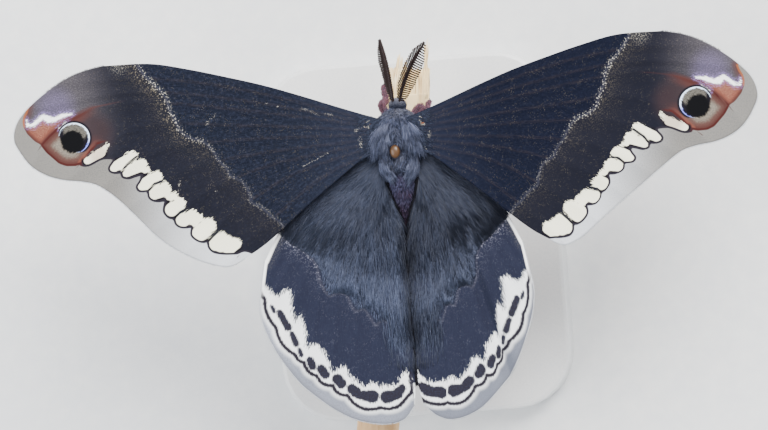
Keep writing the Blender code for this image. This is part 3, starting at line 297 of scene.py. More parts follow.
# Colours as a screen shows them, 0 to 255
COLOURS = {
    # painted shade: the deeper ground of one side's forewing
    "ground": (15, 18, 28), "ground_light": (42, 46, 62), "ground_deep": (7, 10, 26),
    "ground_brown": (23, 23, 30), "line_black": (20, 18, 24), "line_soft": (34, 31, 38),
    "line_grey": (58, 58, 68), "band": (30, 32, 46), "vein_brown": (66, 54, 44), "frost": (128, 118, 98),
    "frost_pale": (196, 190, 176), "frost_cool": (150, 150, 164), "cream": (250, 246, 220),
    "border": (116, 113, 108), "border_cool": (192, 194, 198), "border_hind": (172, 176, 188),
    # painted shade: the darker border of a hindwing in shade
    "border_dusk": (62, 66, 78), "border_dark": (80, 79, 84), "apex_grey": (90, 85, 88),
    # partly painted sheen: the purple near the forewing apex
    "apex_purple": (98, 88, 120), "violet": (150, 128, 190), "patch": (105, 61, 50),
    "patch_pale": (148, 106, 88), "patch_line": (62, 28, 26), "ring": (74, 44, 40),
    "ring_pale": (124, 115, 102), "halo": (46, 34, 36), "eye_black": (10, 10, 12), "eye_grey": (98, 94, 86),
    "crescent": (222, 236, 255), "crescent_blue": (120, 128, 226), "white": (246, 246, 244),
    "orange": (138, 80, 48), "under": (112, 74, 62), "hair_dark": (33, 37, 50),
    "hair_light": (92, 101, 128), "hair_pale": (160, 160, 172), "thorax_dark": (31, 35, 50),
    "thorax_light": (98, 106, 135), "maroon": (84, 52, 68), "maroon_dark": (42, 30, 46),
    "abdomen_blue": (90, 94, 124), "mauve": (146, 96, 112), "mauve_dark": (84, 46, 58),
    "antenna": (42, 31, 30), "antenna_light": (84, 68, 62), "amber": (74, 47, 20),
    # partly painted shade: the dark streaks of the wood between its fibres
    "amber_dark": (48, 30, 13), "wood": (238, 212, 162), "wood_dark": (170, 130, 84),
    "wood_pale": (255, 246, 218), "pith": (196, 150, 104), "panel": (226, 226, 224),
    "floor": (214, 215, 216),
}


def linear(name):
    """A named colour as the shader's linear red, green, blue and alpha."""
    channels = [c / 255 for c in COLOURS[name]]
    return (*[c / 12.92 if c <= 0.04045 else ((c + 0.055) / 1.055) ** 2.4 for c in channels], 1.0)


def smooth_line(points, steps=12):
    """A dense Catmull-Rom line through the points."""
    points = np.asarray(points, float)
    ends = np.vstack((2 * points[0] - points[1], points, 2 * points[-1] - points[-2]))
    t = (np.arange(steps) / steps)[:, None]
    pieces = []
    for a, b, c, d in zip(ends, ends[1:], ends[2:], ends[3:]):
        pieces.append(0.5 * (2 * b + (c - a) * t + (2 * a - 5 * b + 4 * c - d) * t**2
                             + (3 * b - a - 3 * c + d) * t**3))
    return np.vstack((*pieces, points[-1:]))


def lengths_of(line):
    """How far along the line each of its points lies."""
    return np.concatenate(([0.0], np.cumsum(np.linalg.norm(np.diff(line, axis=0), axis=1))))


def at_shares(line, shares):
    """Points at these shares of the line's length."""
    total = lengths_of(line)
    wanted = np.asarray(shares) * total[-1]
    return np.stack([np.interp(wanted, total, line[:, k]) for k in range(line.shape[1])], axis=-1)


def unit(vectors):
    return vectors / np.maximum(np.linalg.norm(vectors, axis=-1, keepdims=True), 1e-9)


def clamp01(values):
    return np.clip(values, 0.0, 1.0)


def line_distance(points, line):
    """How far each point lies from an open line."""
    line = np.asarray(line, float)
    nearest = np.full(len(points), np.inf)
    for a, b in zip(line, line[1:]):
        along = b - a
        share = clamp01((points - a) @ along / max(along @ along, 1e-9))
        nearest = np.minimum(nearest, np.linalg.norm(points - a - share[:, None] * along, axis=1))
    return nearest


def inside(points, outline):
    """Whether each point lies inside a closed outline."""
    outline = np.asarray(outline, float)
    found = np.zeros(len(points), bool)
    x, y = points[:, 0], points[:, 1]
    for (ax, ay), (bx, by) in zip(outline, np.roll(outline, -1, axis=0)):
        crosses = (ay > y) != (by > y)
        rise = by - ay if by != ay else 1e-9
        found ^= crosses & (x < (bx - ax) * (y - ay) / rise + ax)
    return found


def side_field(points, line, far_corners):
    """Signed distance to a line, positive on the side that the far corners close off."""
    held = inside(points, (*line, *far_corners))
    return np.where(held, 1.0, -1.0) * line_distance(points, line)


def patch_field(points, outline):
    """Signed distance to a closed outline, negative inside it."""
    closed = (*outline, outline[0])
    return np.where(inside(points, outline), -1.0, 1.0) * line_distance(points, closed)


def lobe_field(points, lobes):
    """Signed distance to the nearest of some round-ended lobes, negative inside them."""
    nearest = np.full(len(points), np.inf)
    for start, end, radius_a, radius_b in lobes:
        a, b = np.asarray(start), np.asarray(end)
        along = b - a
        share = clamp01((points - a) @ along / max(along @ along, 1e-9))
        reach = np.linalg.norm(points - a - share[:, None] * along, axis=1)
        nearest = np.minimum(nearest, reach - radius_a - (radius_b - radius_a) * share)
    return nearest


def thorax_side(y, z):
    """Half the thorax core's width at a height and a place along it."""
    held = 1.0 - ((y - THORAX_AT[1]) / THORAX_HALF[1]) ** 2 - ((z - THORAX_AT[2]) / THORAX_HALF[2]) ** 2
    return THORAX_HALF[0] * np.sqrt(np.maximum(held, 0.0))


def wing_plan(shape):
    """Plan points of a wing on a grid along its veins, (columns, rows, 2), with millimetres across and
    along the flow of the wing at each point."""
    root_y = np.linspace(*shape["root_y"], 7)
    root = np.stack((thorax_side(root_y, shape["root_z"]) - GAP, root_y), axis=-1)
    margin = smooth_line(shape["margin"])
    reach = lengths_of(margin)[-1]
    rows = WING_ROWS
    paths = [(smooth_line((root[0], *shape["costa"])), 0.0)]
    for root_share, *via in shape["veins"]:
        nearest = np.argmin(np.linalg.norm(margin - via[-1], axis=1))
        end = lengths_of(margin)[nearest] / reach
        start = at_shares(root, [root_share])[0]
        paths.append((smooth_line((start, *via[:-1], margin[nearest])), end))
    paths.append((smooth_line((*shape["inner"], root[-1]))[::-1], 1.0))
    columns, across = [], []
    for (line_a, end_a), (line_b, end_b) in zip(paths, paths[1:]):
        a, b = at_shares(line_a, rows), at_shares(line_b, rows)
        count = max(4, round((end_b - end_a) * reach / COLUMN_STEP))
        for share in np.arange(count) / count:
            end = at_shares(margin, [end_a + (end_b - end_a) * share])[0]
            flat = a + (b - a) * share
            columns.append(flat + (end - flat[-1]) * rows[:, None] ** 3)
            across.append((end_a + (end_b - end_a) * share) * reach)
    columns.append(at_shares(paths[-1][0], rows))
    across.append(reach)
    plan = np.stack(columns)
    steps = np.linalg.norm(np.diff(plan, axis=1), axis=2)
    along = np.concatenate((np.zeros((len(plan), 1)), np.cumsum(steps, axis=1)), axis=1)
    flow = np.stack((np.repeat(np.array(across)[:, None], len(rows), axis=1), along), axis=-1)
    veins = [line for line, _ in paths[1:-1]]
    return plan, flow, veins, margin


def fore_place(plan, side):
    """Plan points of the forewing as this side holds them, in the moth's frame."""
    away = np.linalg.norm(plan - FORE_BULGE_AT, axis=-1, keepdims=True) / FORE_BULGE_RADIUS
    offset = plan + FORE_BULGE_WAY * FORE_BULGE[side] * np.exp(-away * away) - FORE_HINGE
    x, y = offset[..., 0] * FORE_SPAN[side], offset[..., 1]
    c, s = math.cos(FORE_SWEEP[side]), math.sin(FORE_SWEEP[side])
    x, y = FORE_HINGE[0] + c * x - s * y, FORE_HINGE[1] + s * x + c * y
    t = x - HINGE_X
    z = FORE["root_z"] + FORE_RISE * t - FORE_DROOP * (t / FORE_REACH) ** 2 + FORE_PITCH * (y - 1.0)
    return np.stack((x * SIDES[side], y, z), axis=-1)


def pleat_drop(x, y, side):
    """How far the fold along a hindwing lowers a point."""
    if PLEAT_LINE[side] is None:
        return np.zeros_like(x)
    start, end = PLEAT_LINE[side]
    reach = np.linalg.norm(end - start)
    along = (end - start) / reach
    run = clamp01(((x - start[0]) * along[0] + (y - start[1]) * along[1]) / reach)
    aside = ((x - start[0]) * along[1] - (y - start[1]) * along[0]) / PLEAT_WIDTH
    return PLEAT_DEPTH * run * np.exp(-aside * aside)


def hind_place(plan, side):
    """Plan points of the hindwing as this side holds them, in the moth's frame."""
    px, y = plan[..., 0], plan[..., 1]
    back = clamp01((y - HIND_SHIFT_FROM) / (HIND_SHIFT_TO - HIND_SHIFT_FROM))
    near = px + HIND_INNER_SHIFT[side] * (1.0 - px / HINGE_X) * back
    x = np.where(px > HINGE_X, HINGE_X + (px - HINGE_X) * HIND_SPAN[side], near)
    z = HIND["root_z"] + HIND_RISE * (x - HINGE_X) + HIND_PITCH * (y + 1.0) - pleat_drop(x, y, side)
    return np.stack((x * SIDES[side], y, z), axis=-1)


def ripple(plan):
    """The slight waviness of a dried wing, from -1 to 1."""
    x, y = plan[..., 0], plan[..., 1]
    slow = np.sin(0.21 * x - 0.7 * y)
    return 0.5 * np.sin(0.42 * x + 0.3 * y + 0.6) * np.sin(0.5 * y - 0.16 * x) + 0.5 * slow


def shift_at(plan, table):
    """The shift that a table of (place across, shift in, shift forwards) gives each point."""
    table = np.array(table)
    return np.stack([np.interp(plan[:, 0], table[:, 0], table[:, k]) for k in (1, 2)], axis=-1)


def fore_markings(plan, side, margin):
    """Named fields over the forewing, in millimetres, that its material reads."""
    q = plan + shift_at(plan, RIGHT_SHIFT) if side == "right" else plan
    lobes = lobe_field(q, LOBES)
    scallop = smooth_line(FORE_SCALLOP, 4)
    cell_rim = (*LOWER_VEIN[::-1], *CELL_OUTER[::-1], *UPPER_VEIN)
    chain = side_field(q, (CHAIN_START, *APEX_EDGE[::-1], *CHAIN_JOIN, *CELL_OUTER, *scallop), CHAIN_FAR)
    zigzag = [((ax, ay), (bx, by), ra, rb) for (ax, ay, ra), (bx, by, rb) in zip(ZIGZAG, ZIGZAG[1:])]
    return {
        "pattern": np.column_stack((q, np.zeros(len(q)))),
        "line_side": side_field(plan, smooth_line(FORE_LINE, 4), FORE_FAR),
        "lobes": lobes,
        "seams": np.min([line_distance(q, seam) for seam in SEAMS], axis=0),
        "chain": chain,
        "cell": patch_field(q, (*CELL_OUTER, *LOWER_VEIN, *UPPER_VEIN[::-1])),
        "rim": line_distance(q, cell_rim),
        "patch": patch_field(q, APEX_PATCH),
        "zigzag": np.minimum(lobe_field(q, zigzag), lobe_field(q, EYE_DASH)),
        "upper_vein": line_distance(q, UPPER_VEIN),
        "lower_vein": line_distance(q, LOWER_VEIN),
        "apex_edge": line_distance(q, APEX_EDGE),
        "ticks": np.min([line_distance(q, tick) for tick in (UPPER_TICK, LOWER_TICK, TAIL_TICK)], axis=0),
        "worn": lobe_field(plan, WORN[side]),
        "hinge": lobe_field(plan, (HINGE_MARK[side],)),
        # painted light and shade of this side's forewing, the same all over it
        "painted_side_light": np.full(len(plan), FORE_PAINTED_SIDE_LIGHT[side]),
    }


def scallops(cusps):
    """A line that swells outwards between its cusps."""
    line = [cusps[0]]
    for a, b in zip(np.array(cusps), np.array(cusps)[1:]):
        out = np.array((a[1] - b[1], b[0] - a[0])) * np.interp(-a[1], SWELL_PLACES, SCALLOP_SWELL)
        for t in np.linspace(0.0, 1.0, 9)[1:]:
            line.append(a + (b - a) * t + out * math.sin(math.pi * t) ** 0.8)
    return np.array(line)


def hind_markings(plan, side, margin):
    """Named fields over the hindwing, in millimetres, that its material reads."""
    q, on_line = plan, plan
    if side == "right":
        q = plan + shift_at(plan, HIND_RIGHT_SHIFT)
        on_line = plan + LINE_SHIFT * clamp01((LINE_SHIFT_FROM - plan[:, :1]) / LINE_SHIFT_RUN)
    return {
        "pattern": np.column_stack((q, np.zeros(len(q)))),
        "line_side": side_field(on_line, smooth_line(HIND_LINE, 4), HIND_FAR),
        "white_side": side_field(q, WHITE_LINE, HIND_FAR),
        "scallop": side_field(q, scallops(HIND_CUSPS), HIND_FAR),
        "lobes": lobe_field(q, OVALS),
        "costal": line_distance(plan, smooth_line(HIND["costa"])),
        "edge": line_distance(plan, margin),
        "painted_side_light": np.interp(-plan[:, 1], PAINTED_SHADE_PLACES, HIND_PAINTED_SHADE[side]),
    }


def mesh_piece(name, verts, faces, material, smooth=True, attributes=None, uvs=None):
    """An object from points in millimetres and arrays of faces, all with the same number of corners."""
    mesh = bpy.data.meshes.new(name)
    sides = faces.shape[1]
    mesh.vertices.add(len(verts))
    mesh.vertices.foreach_set("co", ((verts + MOTH_AT) * MM).astype(np.float32).ravel())
    mesh.loops.add(faces.size)
    mesh.loops.foreach_set("vertex_index", faces.astype(np.int32).ravel())
    mesh.polygons.add(len(faces))
    mesh.polygons.foreach_set("loop_start", np.arange(0, faces.size, sides, dtype=np.int32))
    mesh.polygons.foreach_set("use_smooth", np.full(len(faces), smooth))
    mesh.update(calc_edges=True)
    for key, values in (attributes or {}).items():
        kind, slot = ("FLOAT", "value") if values.ndim == 1 else ("FLOAT_VECTOR", "vector")
        mesh.attributes.new(key, kind, "POINT").data.foreach_set(slot, values.astype(np.float32).ravel())
    if uvs is not None:
        layer = mesh.uv_layers.new(name="OFBake")
        layer.data.foreach_set("uv", uvs[faces.ravel()].astype(np.float32).ravel())
    obj = bpy.data.objects.new(name, mesh)
    obj.data.materials.append(material)
    bpy.context.scene.collection.objects.link(obj)
    return obj


def settle(obj, slot, *nodes):
    """Ties a piece to the model and hides the nodes that it stands for; its slot is not used."""
    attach(obj, "root")
    if nodes:
        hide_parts(*nodes)
    return obj


def grid_faces(columns, rows, flip):
    """Quads of a grid of columns and rows of points."""
    index = np.arange(columns * rows).reshape(columns, rows)
    quads = np.stack((index[:-1, :-1], index[1:, :-1], index[1:, 1:], index[:-1, 1:]), axis=-1).reshape(-1, 4)
    return quads[:, ::-1] if flip else quads


def grid_normals(points):
    """Normals of a grid of points, all turned upwards."""
    across, along = np.gradient(points, axis=0), np.gradient(points, axis=1)
    normals = unit(np.cross(across, along))
    return normals * np.sign(normals[..., 2:])


def make_wing(name, shape, place, markings, side, material, slot):
    """A thin wing with raised veins, its fields as attributes. Returns what its tufts need."""
    plan, flow, veins, margin = wing_plan(shape)
    columns, rows = plan.shape[:2]
    flat = plan.reshape(-1, 2)
    vein = np.min([line_distance(flat, line) for line in veins], axis=0).reshape(columns, rows)
    share = WING_ROWS[None, :]
    swing = share * (1.0 - 0.3 * share)
    middle = place(plan, side)
    middle[..., 2] += BILLOW * swing * (ripple(plan) + 0.8 * np.exp(-((vein / 0.9) ** 2)))
    thick = (WING_THICK + (MARGIN_THICK - WING_THICK) * share**0.6) / 2
    ridge = VEIN_RISE * np.exp(-((vein / VEIN_HALF) ** 2)) * (1.0 - 0.5 * share)
    normals = grid_normals(middle)
    top = middle + normals * (thick + ridge)[..., None]
    under = middle - normals * (thick + ridge * 0.6)[..., None]
    count = columns * rows
    top_faces = grid_faces(columns, rows, side == "left")
    under_faces = top_faces[:, ::-1] + count
    index = np.arange(count).reshape(columns, rows)
    rim = np.concatenate((index[:, 0], index[-1, 1:], index[-2::-1, -1], index[0, -2:0:-1]))
    after = np.roll(rim, -1)
    wall = np.stack((rim, after, after + count, rim + count), axis=-1)
    if side == "right":
        wall = wall[:, ::-1]
    fields = markings(flat, side, margin)
    fields["vein"] = vein.ravel()
    fields["flow"] = np.column_stack((flow.reshape(-1, 2), np.zeros(count)))
    fields = {key: np.concatenate((values, values)) for key, values in fields.items()}
    fields["underside"] = np.repeat((0.0, 1.0), count)
    low, high = flat.min(axis=0), flat.max(axis=0)
    uv = (flat - low) / (high - low) * (0.98, 0.48) + 0.01
    faces = np.vstack((top_faces, under_faces, wall))
    obj = mesh_piece(name, np.vstack((top.reshape(-1, 3), under.reshape(-1, 3))), faces, material,
                     attributes=fields, uvs=np.vstack((uv, uv + (0.0, 0.5))))
    settle(obj, slot, name)
    return {"plan": plan, "top": top, "normals": normals, "uv": uv.reshape(columns, rows, 2), "flow": flow,
            "line_side": fields["line_side"][:count].reshape(columns, rows)}


# A tuft is a three-sided tapering blade: rings of three points at these shares of its length, with
# these shares of its width, then a tip
LONG_TUFT = (np.array((0.0, 0.35, 0.72)), np.array((0.75, 1.0, 0.62)))
SHORT_TUFT = (np.array((0.0, 0.5)), np.array((0.9, 0.8)))
TUFT_DEPTH = 0.5
TUFT_SINK = 0.12
PATCH_WIDTH = 0.003


def tuft_faces(count, rings):
    """Triangles of some tufts: a base, the sides between rings, and the tip."""
    faces = [(0, 1, 2)]
    for a in range(0, 3 * rings - 3, 3):
        for k in range(3):
            b = (k + 1) % 3
            faces += [(a + k, a + 3 + b, a + b), (a + k, a + 3 + k, a + 3 + b)]
    last = 3 * rings - 3
    faces += [(last + (k + 1) % 3, last + k, last + 3) for k in range(3)]
    return (np.array(faces)[None] + (3 * rings + 1) * np.arange(count)[:, None, None]).reshape(-1, 3)


def make_tufts(name, roots, normals, lies, lengths, widths, lift, sway, uv, fields, material, slot,
               shape=SHORT_TUFT, arch=0.6):
    """One joined mesh of tufts. Each lies along the skin, rises by its lift and droops again at its tip."""
    count, (places, swells) = len(roots), shape
    rings = len(places)
    corners = 3 * rings + 1
    normals, lies = unit(normals), unit(lies)
    aside = unit(np.cross(lies, normals))
    t = np.append(places, 1.0)[None, :, None]
    lengths, lift, sway = (np.asarray(v)[:, None, None] for v in (lengths, lift, sway))
    rise = lift * (1.0 - (1.0 - t) ** 2 - (1.0 - arch) * t**3)
    spine = (roots[:, None] - normals[:, None] * TUFT_SINK * (t == 0.0) + lies[:, None] * lengths * t
             + normals[:, None] * lengths * rise + aside[:, None] * lengths * sway * t**2)
    half = np.asarray(widths)[:, None, None] / 2 * swells[None, :, None]
    ring = np.stack((spine[:, :-1] - aside[:, None] * half, spine[:, :-1] + aside[:, None] * half,
                     spine[:, :-1] + normals[:, None] * half * 2 * TUFT_DEPTH), axis=2)
    verts = np.concatenate((ring.reshape(count, 3 * rings, 3), spine[:, -1:]), axis=1).reshape(-1, 3)
    along = np.append(np.repeat(places, 3), 1.0)
    spread = np.append(np.tile((-0.5, 0.5, 0.0), rings), 0.0)
    patch = np.column_stack((spread, along)) * PATCH_WIDTH
    uvs = (uv[:, None] + patch[None]).reshape(-1, 2)
    attributes = {key: np.repeat(values, corners) for key, values in fields.items()}
    attributes["along"] = np.tile(along, count)
    obj = mesh_piece(name, verts, tuft_faces(count, rings), material, attributes=attributes, uvs=uvs)
    return settle(obj, slot)


FLOAT, VECTOR, COLOUR = "NodeSocketFloat", "NodeSocketVector", "NodeSocketColor"


class Graph:
    """Adds nodes to one tree and links them. Any input may be a socket or a plain value."""

    def __init__(self, tree):
        self.tree = tree

    def add(self, kind, inputs=(), **settings):
        node = self.tree.nodes.new(kind)
        for name, value in settings.items():
            setattr(node, name, value)
        for key, value in dict(inputs).items():
            self.put(node.inputs[key], value)
        return node

    def put(self, socket, value):
        if isinstance(value, bpy.types.NodeSocket):
            self.tree.links.new(value, socket)
        else:
            socket.default_value = value

    def fill(self, sockets, **values):
        """Feeds named sockets. Underscores stand for the spaces in their names."""
        for name, value in values.items():
            self.put(sockets[name.replace("_", " ").title().replace("Ior", "IOR")], value)

    def math(self, operation, a, b=0.0, c=0.0):
        return self.add("ShaderNodeMath", {0: a, 1: b, 2: c}, operation=operation).outputs[0]

    def plus(self, a, b):
        return self.math("ADD", a, b)

    def times(self, value, *others):
        for other in others:
            value = self.math("MULTIPLY", value, other)
        return value

    def scaled(self, value, times, plus):
        return self.math("MULTIPLY_ADD", value, times, plus)

    def fade(self, value, low, high):
        """0 below low, 1 above high, smooth between. Low may be above high."""
        if low > high:
            return self.math("SUBTRACT", 1.0, self.fade(value, high, low))
        node = self.add("ShaderNodeMapRange", {"Value": value, "From Min": low, "From Max": high},
                        interpolation_type="SMOOTHSTEP")
        return node.outputs["Result"]

    def number(self, name):
        return self.add("ShaderNodeAttribute", attribute_name=name).outputs["Fac"]

    def vector(self, name):
        return self.add("ShaderNodeAttribute", attribute_name=name).outputs["Vector"]

    def object_place(self):
        return self.add("ShaderNodeTexCoord").outputs["Object"]

    def axes(self, vector):
        return self.add("ShaderNodeSeparateXYZ", {0: vector}).outputs

    def stretched(self, vector, scale):
        return self.add("ShaderNodeVectorMath", {0: vector, 1: scale}, operation="MULTIPLY").outputs[0]

    def away(self, vector, point):
        """How far a vector lies from a plan point."""
        node = self.add("ShaderNodeVectorMath", {0: vector, 1: (*point, 0.0)}, operation="DISTANCE")
        return node.outputs["Value"]

    def noise(self, vector, scale, detail=2.0, roughness=0.5):
        inputs = {"Vector": vector, "Scale": scale, "Detail": detail, "Roughness": roughness}
        return self.add("ShaderNodeTexNoise", inputs).outputs["Fac"]

    def cells(self, vector, scale):
        return self.add("ShaderNodeTexVoronoi", {"Vector": vector, "Scale": scale}).outputs

    def dots(self, vector, scale, rare):
        """Lone specks; rare is the share of them that is left out."""
        cells = self.cells(vector, scale)
        chance = self.add("ShaderNodeSeparateColor", {0: cells["Color"]}).outputs[0]
        return self.times(self.fade(cells["Distance"], 0.5, 0.3), self.fade(chance, rare, rare + 0.25))

    def mix(self, mask, under, over):
        under, over = (linear(c) if isinstance(c, str) else c for c in (under, over))
        node = self.add("ShaderNodeMix", {"Factor": mask, 6: under, 7: over}, data_type="RGBA")
        return node.outputs[2]

    def layers(self, base, steps):
        """Paints each (mask, colour) over what lies under it."""
        for mask, colour in steps:
            base = self.mix(mask, base, colour)
        return base

    def group(self, tree, **inputs):
        node = self.add("ShaderNodeGroup", node_tree=tree)
        self.fill(node.inputs, **inputs)
        return node.outputs

    def bump(self, height, distance, strength=1.0):
        node = self.add("ShaderNodeBump", {"Height": height, "Distance": distance * MM, "Strength": strength})
        return node.outputs["Normal"]


def new_group(name, inputs, outputs):
    """A node group with named sockets, its graph, its inputs and its output node."""
    tree = bpy.data.node_groups.new(name, "ShaderNodeTree")
    for socket, (kind, value) in inputs.items():
        made = tree.interface.new_socket(socket, in_out="INPUT", socket_type=kind)
        if value is not None:
            made.default_value = value
    for socket, kind in outputs.items():
        tree.interface.new_socket(socket, in_out="OUTPUT", socket_type=kind)
    graph = Graph(tree)
    return tree, graph, graph.add("NodeGroupInput").outputs, graph.add("NodeGroupOutput").inputs


def new_material(name, **values):
    """A material, its graph and its shader, with the values that are the same all over set on the shader."""
    material = bpy.data.materials.new(name)
    material.use_nodes = True
    graph, shader = Graph(material.node_tree), material.node_tree.nodes["Principled BSDF"]
    graph.fill(shader.inputs, **values)
    return material, graph, shader


# The scales of noises and cells are how many there are in a millimetre over the wings, whose pattern and
# flow are in millimetres, and in a metre elsewhere
def build_powder_group():
    """The look of scales on a wing: grain, mottling, sparse pale scales, ragged edges, and relief."""
    tree, g, given, out = new_group(
        "wing_scales", {"Pattern": (VECTOR, None), "Flow": (VECTOR, None)},
        dict.fromkeys(("Grain", "Mottle", "Frost", "Streak", "Rag", "Height"), FLOAT))
    pattern, flow = given["Pattern"], given["Flow"]
    fine = g.noise(pattern, 7.5, 2.0, 0.65)
    streak = g.noise(g.stretched(flow, (6.0, 0.7, 1.0)), 1.0, 3.0, 0.6)
    rag = g.noise(g.stretched(flow, (7.0, 1.3, 1.0)), 1.0, 3.0, 0.7)
    patches = g.noise(pattern, 0.9, 2.0, 0.6)
    rows = g.noise(g.stretched(flow, (14.0, 7.0, 1.0)), 1.0, 1.0, 0.5)
    relief = g.plus(g.times(rows, 0.5), g.times(streak, 0.5))
    frost = g.times(g.dots(pattern, 8.0, 0.6), g.fade(patches, 0.4, 0.7))
    g.fill(out, grain=fine, mottle=g.noise(pattern, 2.8, 4.0, 0.8), frost=frost, streak=streak,
           rag=g.math("SUBTRACT", rag, 0.5), height=g.plus(relief, g.times(fine, 0.4)))
    return tree


def build_pale_line_group():
    """The pale line across a wing: its bright scales, the soft grey under them, and what lies outside."""
    tree, g, given, out = new_group(
        "pale_line",
        {"Side": (FLOAT, 0.0), "Rag": (FLOAT, 0.0), "Pattern": (VECTOR, None), "Width": (FLOAT, 0.3)},
        dict.fromkeys(("Scales", "Soft", "Near", "Outside"), FLOAT))
    side = given["Side"]
    off = g.math("ABSOLUTE", g.plus(side, g.times(given["Rag"], 0.6)))
    shape = g.math("SUBTRACT", 1.0, g.math("DIVIDE", off, given["Width"]))
    outside = g.fade(side, -0.15, 0.2)
    dots = g.dots(given["Pattern"], 6.0, 0.35)
    g.fill(out, scales=g.times(g.fade(shape, -0.6, 0.7), dots),
           soft=g.fade(g.math("ABSOLUTE", side), 0.28, 0.0),
           near=g.times(outside, g.fade(side, 2.0, 0.2), dots), outside=outside)
    return tree


def build_underside_group():
    """The browner look of a wing's underside."""
    tree, g, given, out = new_group(
        "wing_underside", {"Color": (COLOUR, (0, 0, 0, 1)), "Under": (FLOAT, 0.0)}, {"Color": COLOUR})
    g.fill(out, color=g.mix(given["Under"], given["Color"], g.mix(0.55, given["Color"], "under")))
    return tree


def build_strand_group():
    """A tuft from its root to its tip: between a dark and a light, each tuft its own, with fine ribs."""
    tree, g, given, out = new_group(
        "strand",
        {"Dark": (COLOUR, (0, 0, 0, 1)), "Light": (COLOUR, (1, 1, 1, 1)), "Tip": (COLOUR, (1, 1, 1, 1)),
         "Shade": (FLOAT, 0.5), "Pale": (FLOAT, 0.0), "Along": (FLOAT, 0.5), "Place": (VECTOR, None)},
        {"Color": COLOUR, "Roughness": FLOAT, "Height": FLOAT})
    lit = g.times(g.fade(given["Shade"], 0.15, 1.0), g.scaled(given["Along"], 0.75, 0.25))
    ribs = g.noise(given["Place"], 20000.0, 1.0, 0.5)
    g.fill(out, color=g.mix(given["Pale"], g.mix(lit, given["Dark"], given["Light"]), given["Tip"]),
           roughness=g.scaled(ribs, 0.3, 0.55), height=ribs)
    return tree


def build_grain_group():
    """Fine grain and broad clouds of a surface."""
    tree, g, given, out = new_group(
        "fine_grain", {"Place": (VECTOR, None), "Scale": (FLOAT, 1000.0)}, {"Fine": FLOAT, "Cloud": FLOAT})
    g.fill(out, fine=g.noise(given["Place"], given["Scale"], 3.0, 0.6),
           cloud=g.noise(given["Place"], g.times(given["Scale"], 0.05), 2.0, 0.5))
    return tree


def build_wood_group():
    """Bare wood: fine fibres, wider streaks and soft blotches along the stem; where they darken the wood they
    are partly painted shade between its fibres.
    """
    tree, g, given, out = new_group(
        "bare_wood", {"Place": (VECTOR, None)}, dict.fromkeys(("Fibre", "Streak", "Blotch", "Height"), FLOAT))
    fibre = g.noise(g.stretched(given["Place"], (1.0, 0.035, 1.0)), 2600.0, 4.0, 0.65)
    streak = g.noise(g.stretched(given["Place"], (1.0, 0.06, 1.0)), 700.0, 2.0, 0.5)
    g.fill(out, fibre=fibre, streak=streak, blotch=g.noise(given["Place"], 240.0, 3.0, 0.6),
           height=g.plus(fibre, streak))
    return tree


POWDER, PALE_LINE, UNDERSIDE = build_powder_group(), build_pale_line_group(), build_underside_group()
STRAND, GRAIN, WOOD = build_strand_group(), build_grain_group(), build_wood_group()


def wing_shader(name):
    """A wing's material, graph and shader, with its pattern and the look of its scales."""
    material, g, shader = new_material(name, roughness=0.85, specular_ior_level=0.06, sheen_weight=0.03,
                                       sheen_roughness=0.4, sheen_tint=(0.4, 0.5, 1.0, 1.0))
    pattern = g.vector("pattern")
    return material, g, shader, pattern, g.group(POWDER, pattern=pattern, flow=g.vector("flow"))


def finish_wing(g, shader, scales, colour):
    """Feeds a wing's colour, browner below, and the look of its scales into its shader."""
    colour = g.group(UNDERSIDE, color=colour, under=g.number("underside"))["Color"]
    g.fill(shader.inputs, base_color=colour, roughness=g.scaled(scales["Grain"], 0.2, 0.75),
           normal=g.bump(scales["Height"], 0.05, 0.5))


def paint_fore_ground(g, scales, pattern, x, y):
    """The dark inner part and the band of the forewing, with its pale line and worn marks."""
    rag, grain, streak = scales["Rag"], scales["Grain"], scales["Streak"]
    line_side, painted_side_light = g.number("line_side"), g.number("painted_side_light")
    line = g.group(PALE_LINE, side=line_side, rag=rag, pattern=pattern, width=0.34)
    costal, upper, speck = g.fade(y, -6.0, 8.0), g.fade(y, -2.0, 5.0), g.fade(grain, 0.52, 0.64)
    vein = g.times(g.fade(g.number("vein"), 0.3, 0.05), g.fade(streak, 0.4, 0.6))
    band = g.times(line["Outside"], g.fade(line_side, 4.2, 0.6))
    worn = g.fade(g.plus(g.number("worn"), g.times(rag, 1.1)), 0.02, -0.08)
    line_top = g.fade(g.away(pattern, (31.6, 10.7)), 1.7, 0.3)
    return g.layers("ground", [
        (g.times(g.fade(streak, 0.46, 0.7), 0.3), "ground_light"),
        (g.times(g.fade(scales["Mottle"], 0.44, 0.7), 0.5), "ground_light"),
        # painted shade: one side's forewing ground darkened all over
        (painted_side_light, "ground_deep"),
        (g.times(g.fade(x, 15.0, 3.0), 0.28), "ground_light"),
        (g.times(vein, g.fade(line_side, 0.0, -0.5), 0.15), "vein_brown"),
        (g.times(line["Outside"], 0.7), "ground_brown"),
        (g.times(scales["Frost"], 0.2), "frost"),
        (g.times(band, speck, g.scaled(costal, 0.1, 0.04)), "frost"),
        # painted shade: less frost beside the line on the wing painted darker
        (g.times(line["Near"], g.scaled(upper, g.scaled(painted_side_light, -0.6, 0.5), 0.08)), "frost"),
        (g.times(line["Soft"], g.scaled(upper, 0.15, 0.35)), "line_grey"),
        (g.times(line["Scales"], g.scaled(upper, 0.5, 0.16)), "frost_pale"),
        (g.times(line_top, speck, 0.4), "frost_pale"),
        (g.times(worn, g.fade(grain, 0.46, 0.56), 0.7), "frost_pale"),
        (g.times(g.fade(g.number("hinge"), 0.06, -0.06), 0.8), "orange"),
    ])


